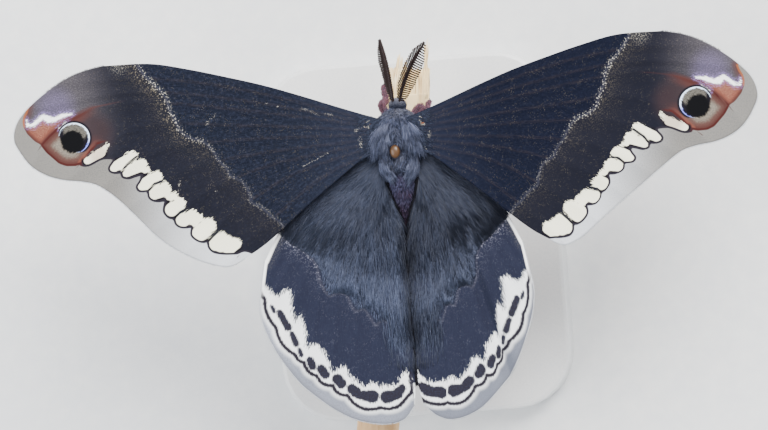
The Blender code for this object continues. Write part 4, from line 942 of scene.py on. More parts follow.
def paint_apex(g, base, scales, pattern, x):
    """The grey, purple and red-brown tip of the forewing, the purple partly a painted sheen, its white zigzag
    and the eyespot's cell.
    """
    rag, grain = scales["Rag"], scales["Grain"]
    rim, patch = g.number("rim"), g.number("patch")
    upper_vein, lower_vein, apex_edge = g.number("upper_vein"), g.number("lower_vein"), g.number("apex_edge")
    speck, near_veins = g.fade(grain, 0.46, 0.62), g.fade(x, 33.6, 37.2)
    # The grey starts further out on the wing whose ground is painted darker as painted shade
    apex = g.times(g.fade(g.scaled(g.number("painted_side_light"), -4.0, x), 29.0, 37.5),
                   g.fade(g.away(pattern, (41.0, 5.5)), 12.0, 4.0))
    purple = g.fade(g.away(pattern, (39.2, 6.0)), 3.2, 0.6)
    halo = g.fade(g.away(pattern, (35.4, 2.6)), 3.6, 1.4)
    zigzag = g.plus(g.number("zigzag"), g.scaled(rag, 1.0, 0.05))
    inside_cell = g.fade(g.number("cell"), 0.02, -0.06)
    margin_side = g.fade(g.away(pattern, (39.3, 0.4)), 4.0, 3.0)
    cell_ring = g.fade(g.plus(rim, g.times(rag, 0.5)), 1.3, 0.5)
    patch_rim = g.fade(g.plus(patch, g.times(rag, 0.5)), -0.5, -0.1)
    return g.layers(base, [
        (g.times(apex, g.scaled(speck, 0.4, 0.4)), "apex_grey"),
        (g.times(halo, g.scaled(grain, 0.6, 0.45)), "halo"),
        # purple near the apex: part real violet scales, part a painted sheen
        (g.times(purple, g.scaled(speck, 0.5, 0.25)), "apex_purple"),
        (g.times(g.fade(apex_edge, 1.1, 0.2), g.scaled(grain, 0.8, 0.3)), "ring"),
        (g.times(g.fade(upper_vein, 0.45, 0.1), near_veins, 0.7), "ring"),
        (g.times(g.fade(upper_vein, 0.14, 0.04), g.fade(x, 30.5, 35.0), 0.5), "ring"),
        (g.times(inside_cell, margin_side, g.scaled(speck, 0.45, 0.55)), "ring_pale"),
        (g.times(inside_cell, cell_ring, near_veins, 0.9), "ring"),
        (g.times(inside_cell, g.fade(rim, 0.5, 0.2), near_veins, 0.5), "patch_line"),
        (g.times(inside_cell, g.fade(lower_vein, 0.55, 0.3), near_veins, 0.8), "patch"),
        (g.fade(patch, 0.05, -0.05), "patch"),
        (g.times(g.fade(patch, -0.25, -0.9), speck, 0.8), "patch_pale"),
        (g.times(g.fade(patch, 0.04, -0.04), patch_rim), "ring"),
        (g.times(g.fade(zigzag, 0.55, 0.1), speck, 0.8), "violet"),
        (g.fade(zigzag, 0.07, -0.07), "white"),
        (g.times(g.fade(upper_vein, 0.17, 0.07), g.fade(x, 36.6, 38.4)), "patch_line"),
        (g.times(g.fade(lower_vein, 0.19, 0.08), g.fade(x, 33.2, 34.6)), "patch_line"),
        (g.times(g.fade(apex_edge, 0.3, 0.1), 0.85), "orange"),
    ])


def paint_fore_margin(g, base, scales, pattern, x):
    """The row of cream lobes with its black scalloped line, and the pale border outside it."""
    rag, grain, lobes, chain = scales["Rag"], scales["Grain"], g.number("lobes"), g.number("chain")
    ends = g.times(rag, 1.3, g.fade(chain, -0.3, -1.3))
    cream = g.times(g.fade(g.plus(lobes, ends), 0.05, -0.07), g.fade(chain, -0.08, -0.16),
                    g.fade(g.number("seams"), 0.1, 0.22))
    warm = g.mix(g.times(g.fade(grain, 0.46, 0.62), 0.4), "border", "border_dark")
    cool = g.mix(g.times(g.fade(grain, 0.52, 0.64), 0.3), "border_cool", "border")
    # painted reflection: the border is painted cooler and lighter further in on the wing with painted side
    # light
    coolness = g.fade(g.scaled(g.number("painted_side_light"), -4.0, x), 33.5, 21.0)
    line = g.fade(g.math("ABSOLUTE", chain), SCALLOP_HALF + 0.05, SCALLOP_HALF - 0.05)
    return g.layers(base, [
        (g.times(g.fade(lobes, 0.45, 0.15), g.fade(chain, -0.9, -0.3)), "line_black"),
        (cream, g.mix(g.times(grain, 0.25), "cream", "border")),
        (g.times(cream, g.fade(g.away(pattern, (34.6, 0.2)), 1.7, 0.6), 0.5), "patch_pale"),
        (g.fade(chain, 0.0, 0.07), g.mix(coolness, warm, cool)),
        (g.times(line, g.fade(x, 41.4, 41.0)), g.mix(g.fade(x, 36.2, 37.0), "line_soft", "patch_line")),
        (g.times(g.fade(g.number("ticks"), 0.11, 0.03), 0.75), "patch_line"),
    ])


def paint_eyespot(g, base, scales, pattern):
    """The black, grey-topped pupil with its pale blue crescent and dark rim."""
    rag, (x, y), outer = scales["Rag"], EYESPOT_AT, EYESPOT_RADIUS
    from_eye = g.away(pattern, EYESPOT_AT)
    inner = g.plus(g.away(pattern, CRESCENT_INNER_AT), g.times(rag, 0.7))
    pupil = g.plus(g.away(pattern, PUPIL_AT), g.times(rag, 0.9))
    crescent_side = g.fade(g.away(pattern, (x - 0.7, y + 0.7)), 2.6, 2.3)
    crescent_edge = g.fade(inner, CRESCENT_INNER - 0.06, CRESCENT_INNER + 0.06)
    disc = g.fade(from_eye, outer + 0.03, outer - 0.05)
    top = g.times(disc, g.fade(g.away(pattern, (x - 0.2, y + 0.9)), 1.6, 1.2))
    blue = g.fade(g.away(pattern, (x - 1.4, y - 1.3)), 1.5, 0.4)
    return g.layers(base, [
        (g.times(g.fade(from_eye, outer + 0.34, outer + 0.12), crescent_side), "line_black"),
        (g.times(top, g.fade(scales["Grain"], 0.3, 0.6)), "eye_grey"),
        (g.fade(pupil, PUPIL_RADIUS + 0.14, PUPIL_RADIUS - 0.2), "eye_black"),
        (g.times(disc, crescent_edge, crescent_side), g.mix(blue, "crescent", "crescent_blue")),
    ])


def forewing_material():
    material, g, shader, pattern, scales = wing_shader("forewing_scales")
    axes = g.axes(pattern)
    base = paint_fore_ground(g, scales, pattern, axes["X"], axes["Y"])
    base = paint_apex(g, base, scales, pattern, axes["X"])
    base = paint_fore_margin(g, base, scales, pattern, axes["X"])
    finish_wing(g, shader, scales, paint_eyespot(g, base, scales, pattern))
    return material


def paint_hind_margin(g, base, scales, y):
    """The torn white zone with its black ovals, the scalloped line, and the greyer border outside it."""
    rag, grain, scallop = scales["Rag"], scales["Grain"], g.number("scallop")
    costal, edge = g.number("costal"), g.number("edge")
    white_edge = g.plus(g.number("white_side"), g.times(rag, 2.6))
    # painted shade: the border darkened by side and towards the back
    border = g.layers(g.mix(g.number("painted_side_light"), "border_hind", "border_dusk"), [
        (g.times(g.fade(grain, 0.45, 0.62), 0.4), "border_dark"),
        (g.times(g.fade(scallop, 0.9, 0.3), 0.6), "white"),
        (g.times(g.fade(edge, 0.5, 0.1), 0.25), "border_dark"),
    ])
    ovals = g.fade(g.plus(g.number("lobes"), g.times(rag, 0.7)), 0.12, -0.1)
    oval_colour = g.mix(g.fade(grain, 0.45, 0.7), "line_soft", "ground_light")
    line = g.math("ABSOLUTE", g.plus(scallop, g.times(rag, 0.5)))
    front = g.times(g.fade(costal, 1.5, 0.3), g.fade(g.number("line_side"), -0.4, 0.2))
    return g.layers(base, [
        (g.fade(white_edge, -0.08, 0.08), g.mix(g.times(grain, 0.5), "white", "border_hind")),
        (g.times(ovals, g.fade(scallop, 0.0, -0.05)), oval_colour),
        (g.fade(scallop, 0.0, 0.06), border),
        (g.fade(line, HIND_SCALLOP_HALF + 0.12, HIND_SCALLOP_HALF - 0.1), "line_soft"),
        (g.times(front, g.fade(grain, 0.5, 0.64), 0.5), "border"),
        (g.times(g.fade(costal, 0.55, 0.3), g.fade(y, -9.0, -11.0)), "white"),
        (g.times(g.fade(edge, 0.4, 0.2), g.fade(y, -18.0, -15.5)), "white"),
    ])


def hindwing_material():
    material, g, shader, pattern, scales = wing_shader("hindwing_scales")
    y = g.axes(pattern)["Y"]
    line = g.group(PALE_LINE, side=g.number("line_side"), rag=scales["Rag"], pattern=pattern, width=0.26)
    near_front = g.fade(y, -18.0, -11.0)
    base = g.layers("band", [
        (g.times(g.fade(scales["Streak"], 0.45, 0.7), 0.25), "ground_light"),
        (g.times(g.fade(scales["Mottle"], 0.46, 0.7), 0.3), "ground_light"),
        (g.times(scales["Frost"], 0.12), "frost_cool"),
        (g.times(line["Near"], g.scaled(near_front, 0.2, 0.04)), "frost_cool"),
        (g.times(line["Soft"], 0.5), "line_grey"),
        (g.times(line["Scales"], g.scaled(near_front, 0.5, 0.12)), "frost_cool"),
    ])
    finish_wing(g, shader, scales, paint_hind_margin(g, base, scales, y))
    return material


def hair_material(name, dark, light, pale="hair_pale"):
    material, g, shader = new_material(name, specular_ior_level=0.14)
    strand = g.group(STRAND, dark=linear(dark), light=linear(light), tip=linear(pale),
                     shade=g.number("shade"), pale=g.number("pale"), along=g.number("along"),
                     place=g.object_place())
    g.fill(shader.inputs, base_color=strand["Color"], roughness=strand["Roughness"],
           normal=g.bump(strand["Height"], 0.01, 0.5))
    return material


def grained_material(name, base, over, scale, rough, relief, **values):
    """A plain finish with grain in its colour, its roughness (least and spread) and its relief."""
    material, g, shader = new_material(name, **values)
    grain = g.group(GRAIN, place=g.object_place(), scale=scale)
    tone = g.times(g.plus(grain["Fine"], grain["Cloud"]), 0.5)
    g.fill(shader.inputs, base_color=g.mix(g.fade(tone, 0.35, 0.75), base, over),
           roughness=g.scaled(grain["Fine"], rough[1], rough[0]), normal=g.bump(grain["Fine"], relief, 0.5))
    return material


def eye_material():
    material, g, shader = new_material("compound_eye", specular_ior_level=0.5)
    facets = g.cells(g.object_place(), 14000.0)["Distance"]
    g.fill(shader.inputs, base_color=g.mix(g.fade(facets, 0.1, 0.6), "antenna", "eye_black"),
           roughness=g.scaled(facets, 0.2, 0.18), normal=g.bump(g.math("SUBTRACT", 1.0, facets), 0.02))
    return material


def wood_material(name, base, dark, pale):
    """Bare wood, its dark streaks partly grain and partly painted shade between the fibres, that turns to the
    colour of its pith behind the moth.
    """
    material, g, shader = new_material(name, specular_ior_level=0.3)
    place = g.object_place()
    wood = g.group(WOOD, place=place)
    rear = g.fade(g.axes(place)["Y"], (MOTH_AT[1] + 2.0) * MM, (MOTH_AT[1] - 20.0) * MM)
    colour = g.layers(base, [
        # dark streaks and fibres: partly the wood's grain, partly painted shade between its torn fibres
        (g.times(g.fade(wood["Streak"], 0.46, 0.66), 0.6), dark),
        (g.times(g.fade(wood["Fibre"], 0.52, 0.7), 0.55), dark),
        (g.times(g.fade(wood["Blotch"], 0.5, 0.75), 0.5), pale),
        (g.times(rear, 0.7), "pith"),
    ])
    g.fill(shader.inputs, base_color=colour, roughness=g.scaled(wood["Fibre"], 0.2, 0.6),
           normal=g.bump(wood["Height"], 0.12, 0.8))
    return material


def rod_material():
    material, g, shader = new_material("brushed_rod", metallic=1.0, base_color=(0.56, 0.56, 0.57, 1.0))
    brush = g.noise(g.stretched(g.object_place(), (1.0, 1.0, 0.04)), 9000.0, 2.0)
    g.fill(shader.inputs, roughness=g.scaled(brush, 0.2, 0.22), normal=g.bump(brush, 0.006, 0.5))
    return material


def ball(centre, half, rings=24, sides=36):
    """Points and quads of an ellipsoid, with its poles on Y."""
    polar = np.linspace(0.0, math.pi, rings + 1)
    turn = np.arange(sides) * 2 * math.pi / sides
    ring = np.stack((np.sin(polar)[:, None] * np.cos(turn), np.repeat(np.cos(polar)[:, None], sides, axis=1),
                     np.sin(polar)[:, None] * np.sin(turn)), axis=-1)
    return loop_surface(ring * half + centre)


def loop_surface(rings):
    """Quads over rings of points, each ring closed on itself."""
    count, sides = rings.shape[:2]
    index = np.arange(count * sides).reshape(count, sides)
    quads = np.stack((index[:-1], np.roll(index[:-1], -1, axis=1), np.roll(index[1:], -1, axis=1), index[1:]),
                     axis=-1)
    return rings.reshape(-1, 3), quads.reshape(-1, 4)


def tube_rings(points, radii, sides=12):
    """Rings of points round a line, closed to a small point at both ends."""
    points, radii = np.asarray(points, float), np.asarray(radii, float)
    along = unit(np.gradient(points, axis=0))
    helper = np.where(np.abs(along[:, 2:]) > 0.9, (0.0, 1.0, 0.0), (0.0, 0.0, 1.0))
    first = unit(np.cross(along, helper))
    second = np.cross(along, first)
    turn = np.arange(sides) * 2 * math.pi / sides
    rings = (points[:, None] + radii[:, None, None]
             * (np.cos(turn)[None, :, None] * first[:, None] + np.sin(turn)[None, :, None] * second[:, None]))
    caps = [points[0] + (rings[0] - points[0]) * 0.05, points[-1] + (rings[-1] - points[-1]) * 0.05]
    return np.concatenate((caps[0][None], rings, caps[1][None]))


def joined(parts):
    """Several (points, faces) as one."""
    verts, faces, start = [], [], 0
    for points, quads in parts:
        verts.append(points)
        faces.append(quads + start)
        start += len(points)
    return np.vstack(verts), np.vstack(faces)


def abdomen_radius(y):
    y = np.asarray(y, float)
    radii, places = np.array(ABDOMEN_RADII)[::-1, 1], np.array(ABDOMEN_RADII)[::-1, 0]
    swell = 1.0 - 0.05 * np.abs(np.cos(math.pi * ABDOMEN_SEGMENTS * (y - ABDOMEN_FRONT) / ABDOMEN_RUN))
    return np.interp(y, places, radii) * swell


def abdomen_drop(y):
    table = np.array(ABDOMEN_DROP)[::-1]
    return np.interp(y, table[:, 0], table[:, 1])


def abdomen_rings(inset, count=60, sides=36):
    y = np.linspace(ABDOMEN_FRONT, ABDOMEN_REAR, count)
    turn = np.arange(sides) * 2 * math.pi / sides
    radius = np.maximum(abdomen_radius(y) - inset, 0.02)[:, None]
    return np.stack((radius * np.sin(turn), np.repeat(y[:, None], sides, axis=1),
                     radius * ABDOMEN_FLAT * np.cos(turn) + abdomen_drop(y)[:, None]), axis=-1)


def twig_centre(y):
    y = np.asarray(y, float)
    return np.stack((TWIG_HEAD_X - TWIG_SKEW * (TWIG_HEAD_Y - y), y, np.full_like(y, -TWIG_DROP)), axis=-1)


def foot_point(side, y, angle):
    off = TWIG_RADIUS + GAP + FOOT_RADIUS * 0.6
    return twig_centre(y) + np.array((SIDES[side] * off * math.sin(angle), 0.0, off * math.cos(angle)))


def leg_line(row, side):
    """The middle line of a leg, from inside the thorax to its toe."""
    sizes = LEG_ROWS[row]
    shift, knee_shift = (sizes["right_shift"], sizes["right_knee"]) if side == "right" else (0.0, (0.0, 0.0))
    mirror = np.array((SIDES[side], 1.0, 1.0))
    hip = np.array(sizes["hip"]) * mirror
    knee = np.array(sizes["knee"]) * mirror + (*knee_shift, 0.0)
    ankle, toe = sizes["ankle"] + shift, sizes["toe"] + shift
    feet = [foot_point(side, ankle, FOOT_ANGLE[0]), foot_point(side, (ankle + toe) / 2, sum(FOOT_ANGLE) / 2),
            foot_point(side, toe, FOOT_ANGLE[1])]
    start = THORAX_AT + (hip - THORAX_AT) * 0.8
    return at_shares(smooth_line([start, hip, knee, *feet], 10), np.linspace(0.0, 1.0, 60))


def leg_radius(share):
    """Thick to the knee, then slim, with five small swellings along the foot."""
    slim = np.interp(share, *np.transpose(LEG_RADII))
    return slim * (1.0 + FOOT_SWELL * clamp01((share - FOOT_STARTS) * 8) * np.sin(share * FOOT_WAVE))


def applied(obj):
    """The object with its modifiers applied."""
    bpy.context.view_layer.update()
    graph = bpy.context.evaluated_depsgraph_get()
    mesh = bpy.data.meshes.new_from_object(obj.evaluated_get(graph))
    obj.modifiers.clear()
    old, obj.data = obj.data, mesh
    bpy.data.meshes.remove(old)
    return obj


def make_body_skin(material):
    """One closed skin over head, thorax, abdomen and legs."""
    parts = [ball(THORAX_AT, THORAX_HALF - 0.08), ball(HEAD_AT, HEAD_HALF - 0.12),
             ball(COLLAR_AT, COLLAR_HALF), ball(THORAX_AT + (0.1, 3.2, -0.1), np.array((0.75, 1.2, 0.8))),
             loop_surface(abdomen_rings(0.22))]
    for side in SIDES:
        for row in LEG_ROWS:
            line = leg_line(row, side)
            parts.append(loop_surface(tube_rings(line, leg_radius(np.linspace(0, 1, len(line))), 14)))
        palp = HEAD_AT + np.array((0.3 * SIDES[side], 0.45, -0.45))
        parts.append(loop_surface(tube_rings([palp, palp + (0.02, 0.2, -0.04), palp + (0.03, 0.4, -0.16)],
                                             (0.2, 0.2, 0.08))))
    verts, faces = joined(parts)
    obj = mesh_piece("body_skin", verts, faces, material)
    remesh = obj.modifiers.new("one_skin", "REMESH")
    remesh.mode = "VOXEL"
    remesh.voxel_size = 0.1 * MM
    smooth = obj.modifiers.new("soften", "SMOOTH")
    smooth.iterations = 4
    applied(obj)
    obj.data.polygons.foreach_set("use_smooth", np.ones(len(obj.data.polygons), bool))
    nodes = ["thorax", "head", "abdomen"] + [f"leg_{row}_{side}" for row in LEG_ROWS for side in SIDES]
    return settle(obj, "body_coat", *nodes)


def ellipsoid_roots(rng, count, centre, half):
    way = unit(rng.normal(size=(count, 3)))
    roots = centre + way * half
    return roots, unit((roots - centre) / half**2)


def clumps(rng, roots, count):
    """Sorts roots into clumps of neighbours: the number of each root's clump."""
    centres = roots[rng.choice(len(roots), count, replace=False)]
    return np.concatenate([np.argmin(np.sum((part[:, None] - centres) ** 2, axis=2), axis=1)
                           for part in np.array_split(roots, 20)])


def laid(lies, normals):
    """Aims pressed flat onto the skin."""
    return unit(lies - normals * np.sum(lies * normals, axis=1, keepdims=True))


def round_uv(points, centre, tile):
    """A root's place on an unwrap round the body: the angle and the place along it, in one of four tiles."""
    offset = points - centre
    angle = np.arctan2(offset[:, 0], offset[:, 2]) / (2 * math.pi) + 0.5
    along = clamp01(0.5 + offset[:, 1] / 16.0)
    return np.column_stack((0.01 + 0.98 * angle, 0.25 * tile + 0.01 + 0.22 * along))


def make_thorax_coat(material):
    """Hair that sweeps back over the thorax, parting round the bare shield."""
    rng = np.random.default_rng(11)
    locks = 420
    for layer, (count, lift, length) in enumerate(((15000, 0.3, 1.15), (15000, 0.42, 1.5))):
        roots, normals = ellipsoid_roots(rng, count, THORAX_AT, THORAX_HALF - 0.05)
        away = (roots - SHIELD_AT)[:, :2]
        keep = (np.abs(roots[:, 0]) < 1.75) | (roots[:, 2] < -0.6) | (roots[:, 2] > 1.6)
        keep &= (np.linalg.norm(away / (0.68, 0.86), axis=1) > 1.0) | (roots[:, 2] < 0.0)
        roots, normals, away = roots[keep], normals[keep], away[keep]
        count = len(roots)
        clump = clumps(rng, roots, locks)
        lies = np.column_stack((0.14 * roots[:, 0] + 0.12 * np.sin(roots[:, 1] * 1.3 + 0.8), -np.ones(count),
                                np.zeros(count)))
        lies += rng.normal(scale=0.14, size=(count, 3)) + rng.normal(scale=0.2, size=(locks, 3))[clump]
        near = np.exp(-np.sum((away / (1.1, 1.3)) ** 2, axis=1))
        ahead = near * (away[:, 1] > -0.2)
        lies[:, 0] += ahead * np.sign(away[:, 0]) * 1.1
        short = (1.0 - 0.5 * ahead - 0.3 * near) * (1.0 - 0.4 * clamp01((-0.6 - roots[:, 2]) / 1.6))
        shade = 0.55 * rng.random(count) + 0.45 * rng.random(locks)[clump]
        make_tufts(f"thorax_coat_{layer}", roots, normals, laid(lies, normals),
                   length * short * rng.uniform(0.7, 1.15, count), rng.uniform(0.06, 0.1, count),
                   lift * rng.uniform(0.5, 1.2, count), rng.normal(scale=0.2, size=count),
                   round_uv(roots, THORAX_AT, 0), {"shade": shade, "pale": 0.15 * rng.random(count)},
                   material, "body_coat")


def make_collar(material):
    """The dense collar behind the head: hair that stands up along its front and lies back behind."""
    rng = np.random.default_rng(16)
    locks = 160
    roots, normals = ellipsoid_roots(rng, 12000, COLLAR_AT, COLLAR_HALF)
    keep = (roots[:, 1] > 1.2) & (np.linalg.norm((roots - THORAX_AT) / THORAX_HALF, axis=1) > 0.93)
    roots, normals = roots[keep], normals[keep]
    count = len(roots)
    clump = clumps(rng, roots, locks)
    front = clamp01((roots[:, 1] - 2.2) / 0.6)
    lies = np.column_stack((0.35 * (roots[:, 0] - COLLAR_AT[0]), 1.7 * front - 1.0, 0.3 * front))
    lies += rng.normal(scale=0.15, size=(count, 3)) + rng.normal(scale=0.22, size=(locks, 3))[clump]
    make_tufts("collar_coat", roots, normals, laid(lies, normals), rng.uniform(0.6, 1.0, count),
               rng.uniform(0.06, 0.1, count), rng.uniform(0.4, 0.8, count), rng.normal(scale=0.2, size=count),
               round_uv(roots, THORAX_AT, 1),
               {"shade": 0.5 * rng.random(count) + 0.4 * rng.random(locks)[clump],
                "pale": clamp01(0.45 * front * rng.random(count) + 0.1 * (rng.random(locks)[clump] > 0.6))},
               material, "body_coat")


# Long tufts: angles out from the top, places along the thorax, how far they sweep out, lengths
LONG_TUFTS = {"shoulder": ((24, 62), (0.6, 2.6), 0.5, (2.2, 3.8)),
              "rear": ((46, 78), (-3.1, -1.4), 0.25, (1.7, 3.0))}


def make_long_tufts(place, count, seed, material):
    """The long tufts that sweep back from each shoulder, or from the rear corners of the thorax."""
    angles, places, sweep, lengths = LONG_TUFTS[place]
    rng = np.random.default_rng(seed)
    locks = 90
    sign = np.where(rng.random(count) < 0.5, -1.0, 1.0)
    angle = np.radians(rng.uniform(*angles, count)) * sign
    y = rng.uniform(*places, count)
    ring = np.sqrt(1 - ((y - THORAX_AT[1]) / THORAX_HALF[1]) ** 2)
    roots = np.column_stack((THORAX_HALF[0] * ring * np.sin(angle), y, THORAX_HALF[2] * ring * np.cos(angle)))
    normals = unit((roots - THORAX_AT) / THORAX_HALF**2)
    clump = clumps(rng, roots, locks)
    out = (np.abs(np.degrees(angle)) - angles[0]) / (angles[1] - angles[0])
    lies = np.column_stack((sign * (0.05 + sweep * out), -np.ones(count), 0.12 * np.ones(count)))
    lies += rng.normal(scale=0.04, size=(count, 3)) + rng.normal(scale=0.1, size=(locks, 3))[clump]
    lies = unit(lies - normals * np.sum(lies * normals, axis=1, keepdims=True) * 0.8)
    shade = 0.3 + 0.35 * rng.random(count) + 0.35 * rng.random(locks)[clump]
    make_tufts(place + "_tufts", roots, normals, lies, rng.uniform(*lengths, count) * (0.8 + 0.3 * out),
               rng.uniform(0.06, 0.1, count), rng.uniform(0.1, 0.2, count),
               rng.normal(scale=0.07, size=count),
               round_uv(roots, THORAX_AT, 1), {"shade": shade, "pale": 0.3 * shade * rng.random(count)},
               material, "body_coat", shape=LONG_TUFT)


def make_head_coat(material):
    """Frosted hair over the head, longest above the eyes, with a pale tuft at each antenna's root."""
    rng = np.random.default_rng(13)
    roots, normals = ellipsoid_roots(rng, 7600, HEAD_AT, HEAD_HALF - 0.1)
    keep = roots[:, 1] > HEAD_AT[1] - 0.75
    eyes = []
    for side in SIDES:
        eyes.append(np.linalg.norm(roots - EYE_AT * (SIDES[side], 1.0, 1.0) - (HEAD_AT[0], 0.0, 0.0), axis=1))
        keep &= eyes[-1] > 0.45
    roots, normals = roots[keep], normals[keep]
    near_eye = clamp01(1.5 - np.minimum(*eyes)[keep]) * (roots[:, 2] > -0.7)
    count = len(roots)
    lies = np.column_stack((0.5 * (roots[:, 0] - HEAD_AT[0]), np.ones(count), -0.3 * np.ones(count)))
    lies += rng.normal(scale=0.3, size=(count, 3))
    tops = np.minimum(*[np.linalg.norm(roots - antenna_root(side), axis=1) for side in SIDES])
    pale = clamp01(1.3 - tops / 0.6) * 1.1 * rng.random(count)
    # Painted shade: the hair's shade and frost fade out towards the back of the head, darkening where it
    # meets the collar
    behind = clamp01((roots[:, 1] - HEAD_AT[1] + 0.3) / 0.5)
    make_tufts("head_coat", roots, normals, laid(lies, normals),
               rng.uniform(0.3, 0.6, count) + 0.1 * near_eye,
               rng.uniform(0.05, 0.09, count), rng.uniform(0.3, 0.6, count) + 0.4 * pale,
               rng.normal(scale=0.2, size=count), round_uv(roots, HEAD_AT, 2),
               {"shade": (0.3 + 0.7 * rng.random(count)) * behind, "pale": pale * behind},
               material, "body_coat")


def make_abdomen_coat(material):
    rng = np.random.default_rng(14)
    count = 15000
    y = rng.uniform(-15.4, -2.8, count)
    angle = rng.uniform(-math.pi, math.pi, count)
    radius = abdomen_radius(y) - 0.2
    height = radius * ABDOMEN_FLAT * np.cos(angle) + abdomen_drop(y)
    roots = np.column_stack((radius * np.sin(angle), y, height))
    normals = np.column_stack((np.sin(angle), -0.1 * np.ones(count), np.cos(angle)))
    slope = np.gradient(abdomen_drop(np.linspace(-15.6, -2.6, 50)), 13.0 / 49)
    tilt = np.interp(y, np.linspace(-15.6, -2.6, 50), slope)
    lies = np.column_stack((0.12 * np.sin(angle), -np.ones(count), -tilt))
    lies += rng.normal(scale=0.14, size=(count, 3))
    end = clamp01((-13.2 - y) / 2.0)
    front = clamp01((y + 9.5) / 4.5)
    groove = 0.5 + 0.5 * np.cos(2 * math.pi * ABDOMEN_SEGMENTS * (y - ABDOMEN_FRONT) / ABDOMEN_RUN)
    make_tufts("abdomen_coat", roots, unit(normals), laid(lies, unit(normals)),
               rng.uniform(0.7, 1.1, count) * (1.0 + 0.5 * end), rng.uniform(0.06, 0.11, count),
               rng.uniform(0.2, 0.45, count), rng.normal(scale=0.14, size=count),
               round_uv(roots, np.array((0.0, -9.0, -2.0)), 3),
               {"shade": rng.random(count) * (0.4 + 0.6 * groove),
                "pale": clamp01(front * 0.75 * rng.random(count) ** 0.5)}, material, "abdomen_coat")


def make_leg_coat(material):
    """Short hair along every leg, longest at the thigh."""
    rng = np.random.default_rng(15)
    groups = []
    for number, (row, side) in enumerate((row, side) for row in LEG_ROWS for side in SIDES):
        count = 1900
        line = leg_line(row, side)
        share = rng.random(count) ** 1.1 * 0.97
        middle, radius = at_shares(line, share), leg_radius(share)
        along = unit(at_shares(line, np.minimum(share + 0.02, 1.0)) - at_shares(line, share - 0.02))
        around = unit(np.cross(along, unit(rng.normal(size=(count, 3)))))
        roots = middle + around * radius[:, None] * 0.9
        lies = unit(along + rng.normal(scale=0.2, size=(count, 3)))
        uv = np.column_stack((0.01 + 0.97 * share, 0.16 * number + 0.01 + 0.13 * rng.random(count)))
        groups.append((roots, around, lies, (0.6 - 0.28 * share) * rng.uniform(0.7, 1.2, count), uv))
    roots, normals, lies, lengths, uv = (np.concatenate(column) for column in zip(*groups))
    count = len(roots)
    make_tufts("leg_coat", roots, normals, laid(lies, normals), lengths, rng.uniform(0.05, 0.1, count),
               rng.uniform(0.25, 0.5, count), rng.normal(scale=0.2, size=count), uv,
               {"shade": rng.random(count), "pale": 0.15 * rng.random(count)}, material, "leg")


def make_claws(material):
    """A pair of small hooks on every foot."""
    parts = []
    for row in LEG_ROWS:
        for side in SIDES:
            line = leg_line(row, side)
            toe, way = line[-1], unit(line[-1] - line[-4])
            down = unit(twig_centre(toe[1]) - toe)
            for spread in (-1.0, 1.0):
                aside = np.cross(way, down) * spread
                hook = [toe - way * 0.1, toe + way * 0.12 + aside * 0.1,
                        toe + way * 0.2 + aside * 0.16 + down * 0.1,
                        toe + way * 0.16 + aside * 0.18 + down * 0.2]
                parts.append(loop_surface(tube_rings(smooth_line(hook, 4), np.linspace(0.06, 0.012, 13), 6)))
    verts, faces = joined(parts)
    return settle(mesh_piece("claws", verts, faces, material), "leg")


def make_eye(side, material):
    verts, faces = ball(EYE_AT * (SIDES[side], 1.0, 1.0) + (HEAD_AT[0], 0.0, 0.0), EYE_HALF, 32, 48)
    return settle(mesh_piece("eye_" + side, verts, faces, material), "eye", "eye_" + side)


def make_shield(material):
    """The bare amber oval behind the middle of the thorax."""
    verts, faces = ball(SHIELD_AT, SHIELD_HALF, 24, 36)
    return settle(mesh_piece("thorax_shield", verts, faces, material), "body_coat")


def antenna_root(side):
    return HEAD_AT + unit(ANTENNA_AIM[side]) * (HEAD_HALF - 0.15)


def antenna_line(side, count=55):
    root = antenna_root(side)
    run = ANTENNA_TIP[side] - root
    bow = np.array((0.0, 0.0, 1.0)) - unit(run) * unit(run)[2]
    t = np.linspace(0.0, 1.0, count)[:, None]
    return root + run * t + (bow * ANTENNA_BOW + (4.0 * ANTENNA_SWAY[side], 0.0, 0.0)) * t * (1 - t)


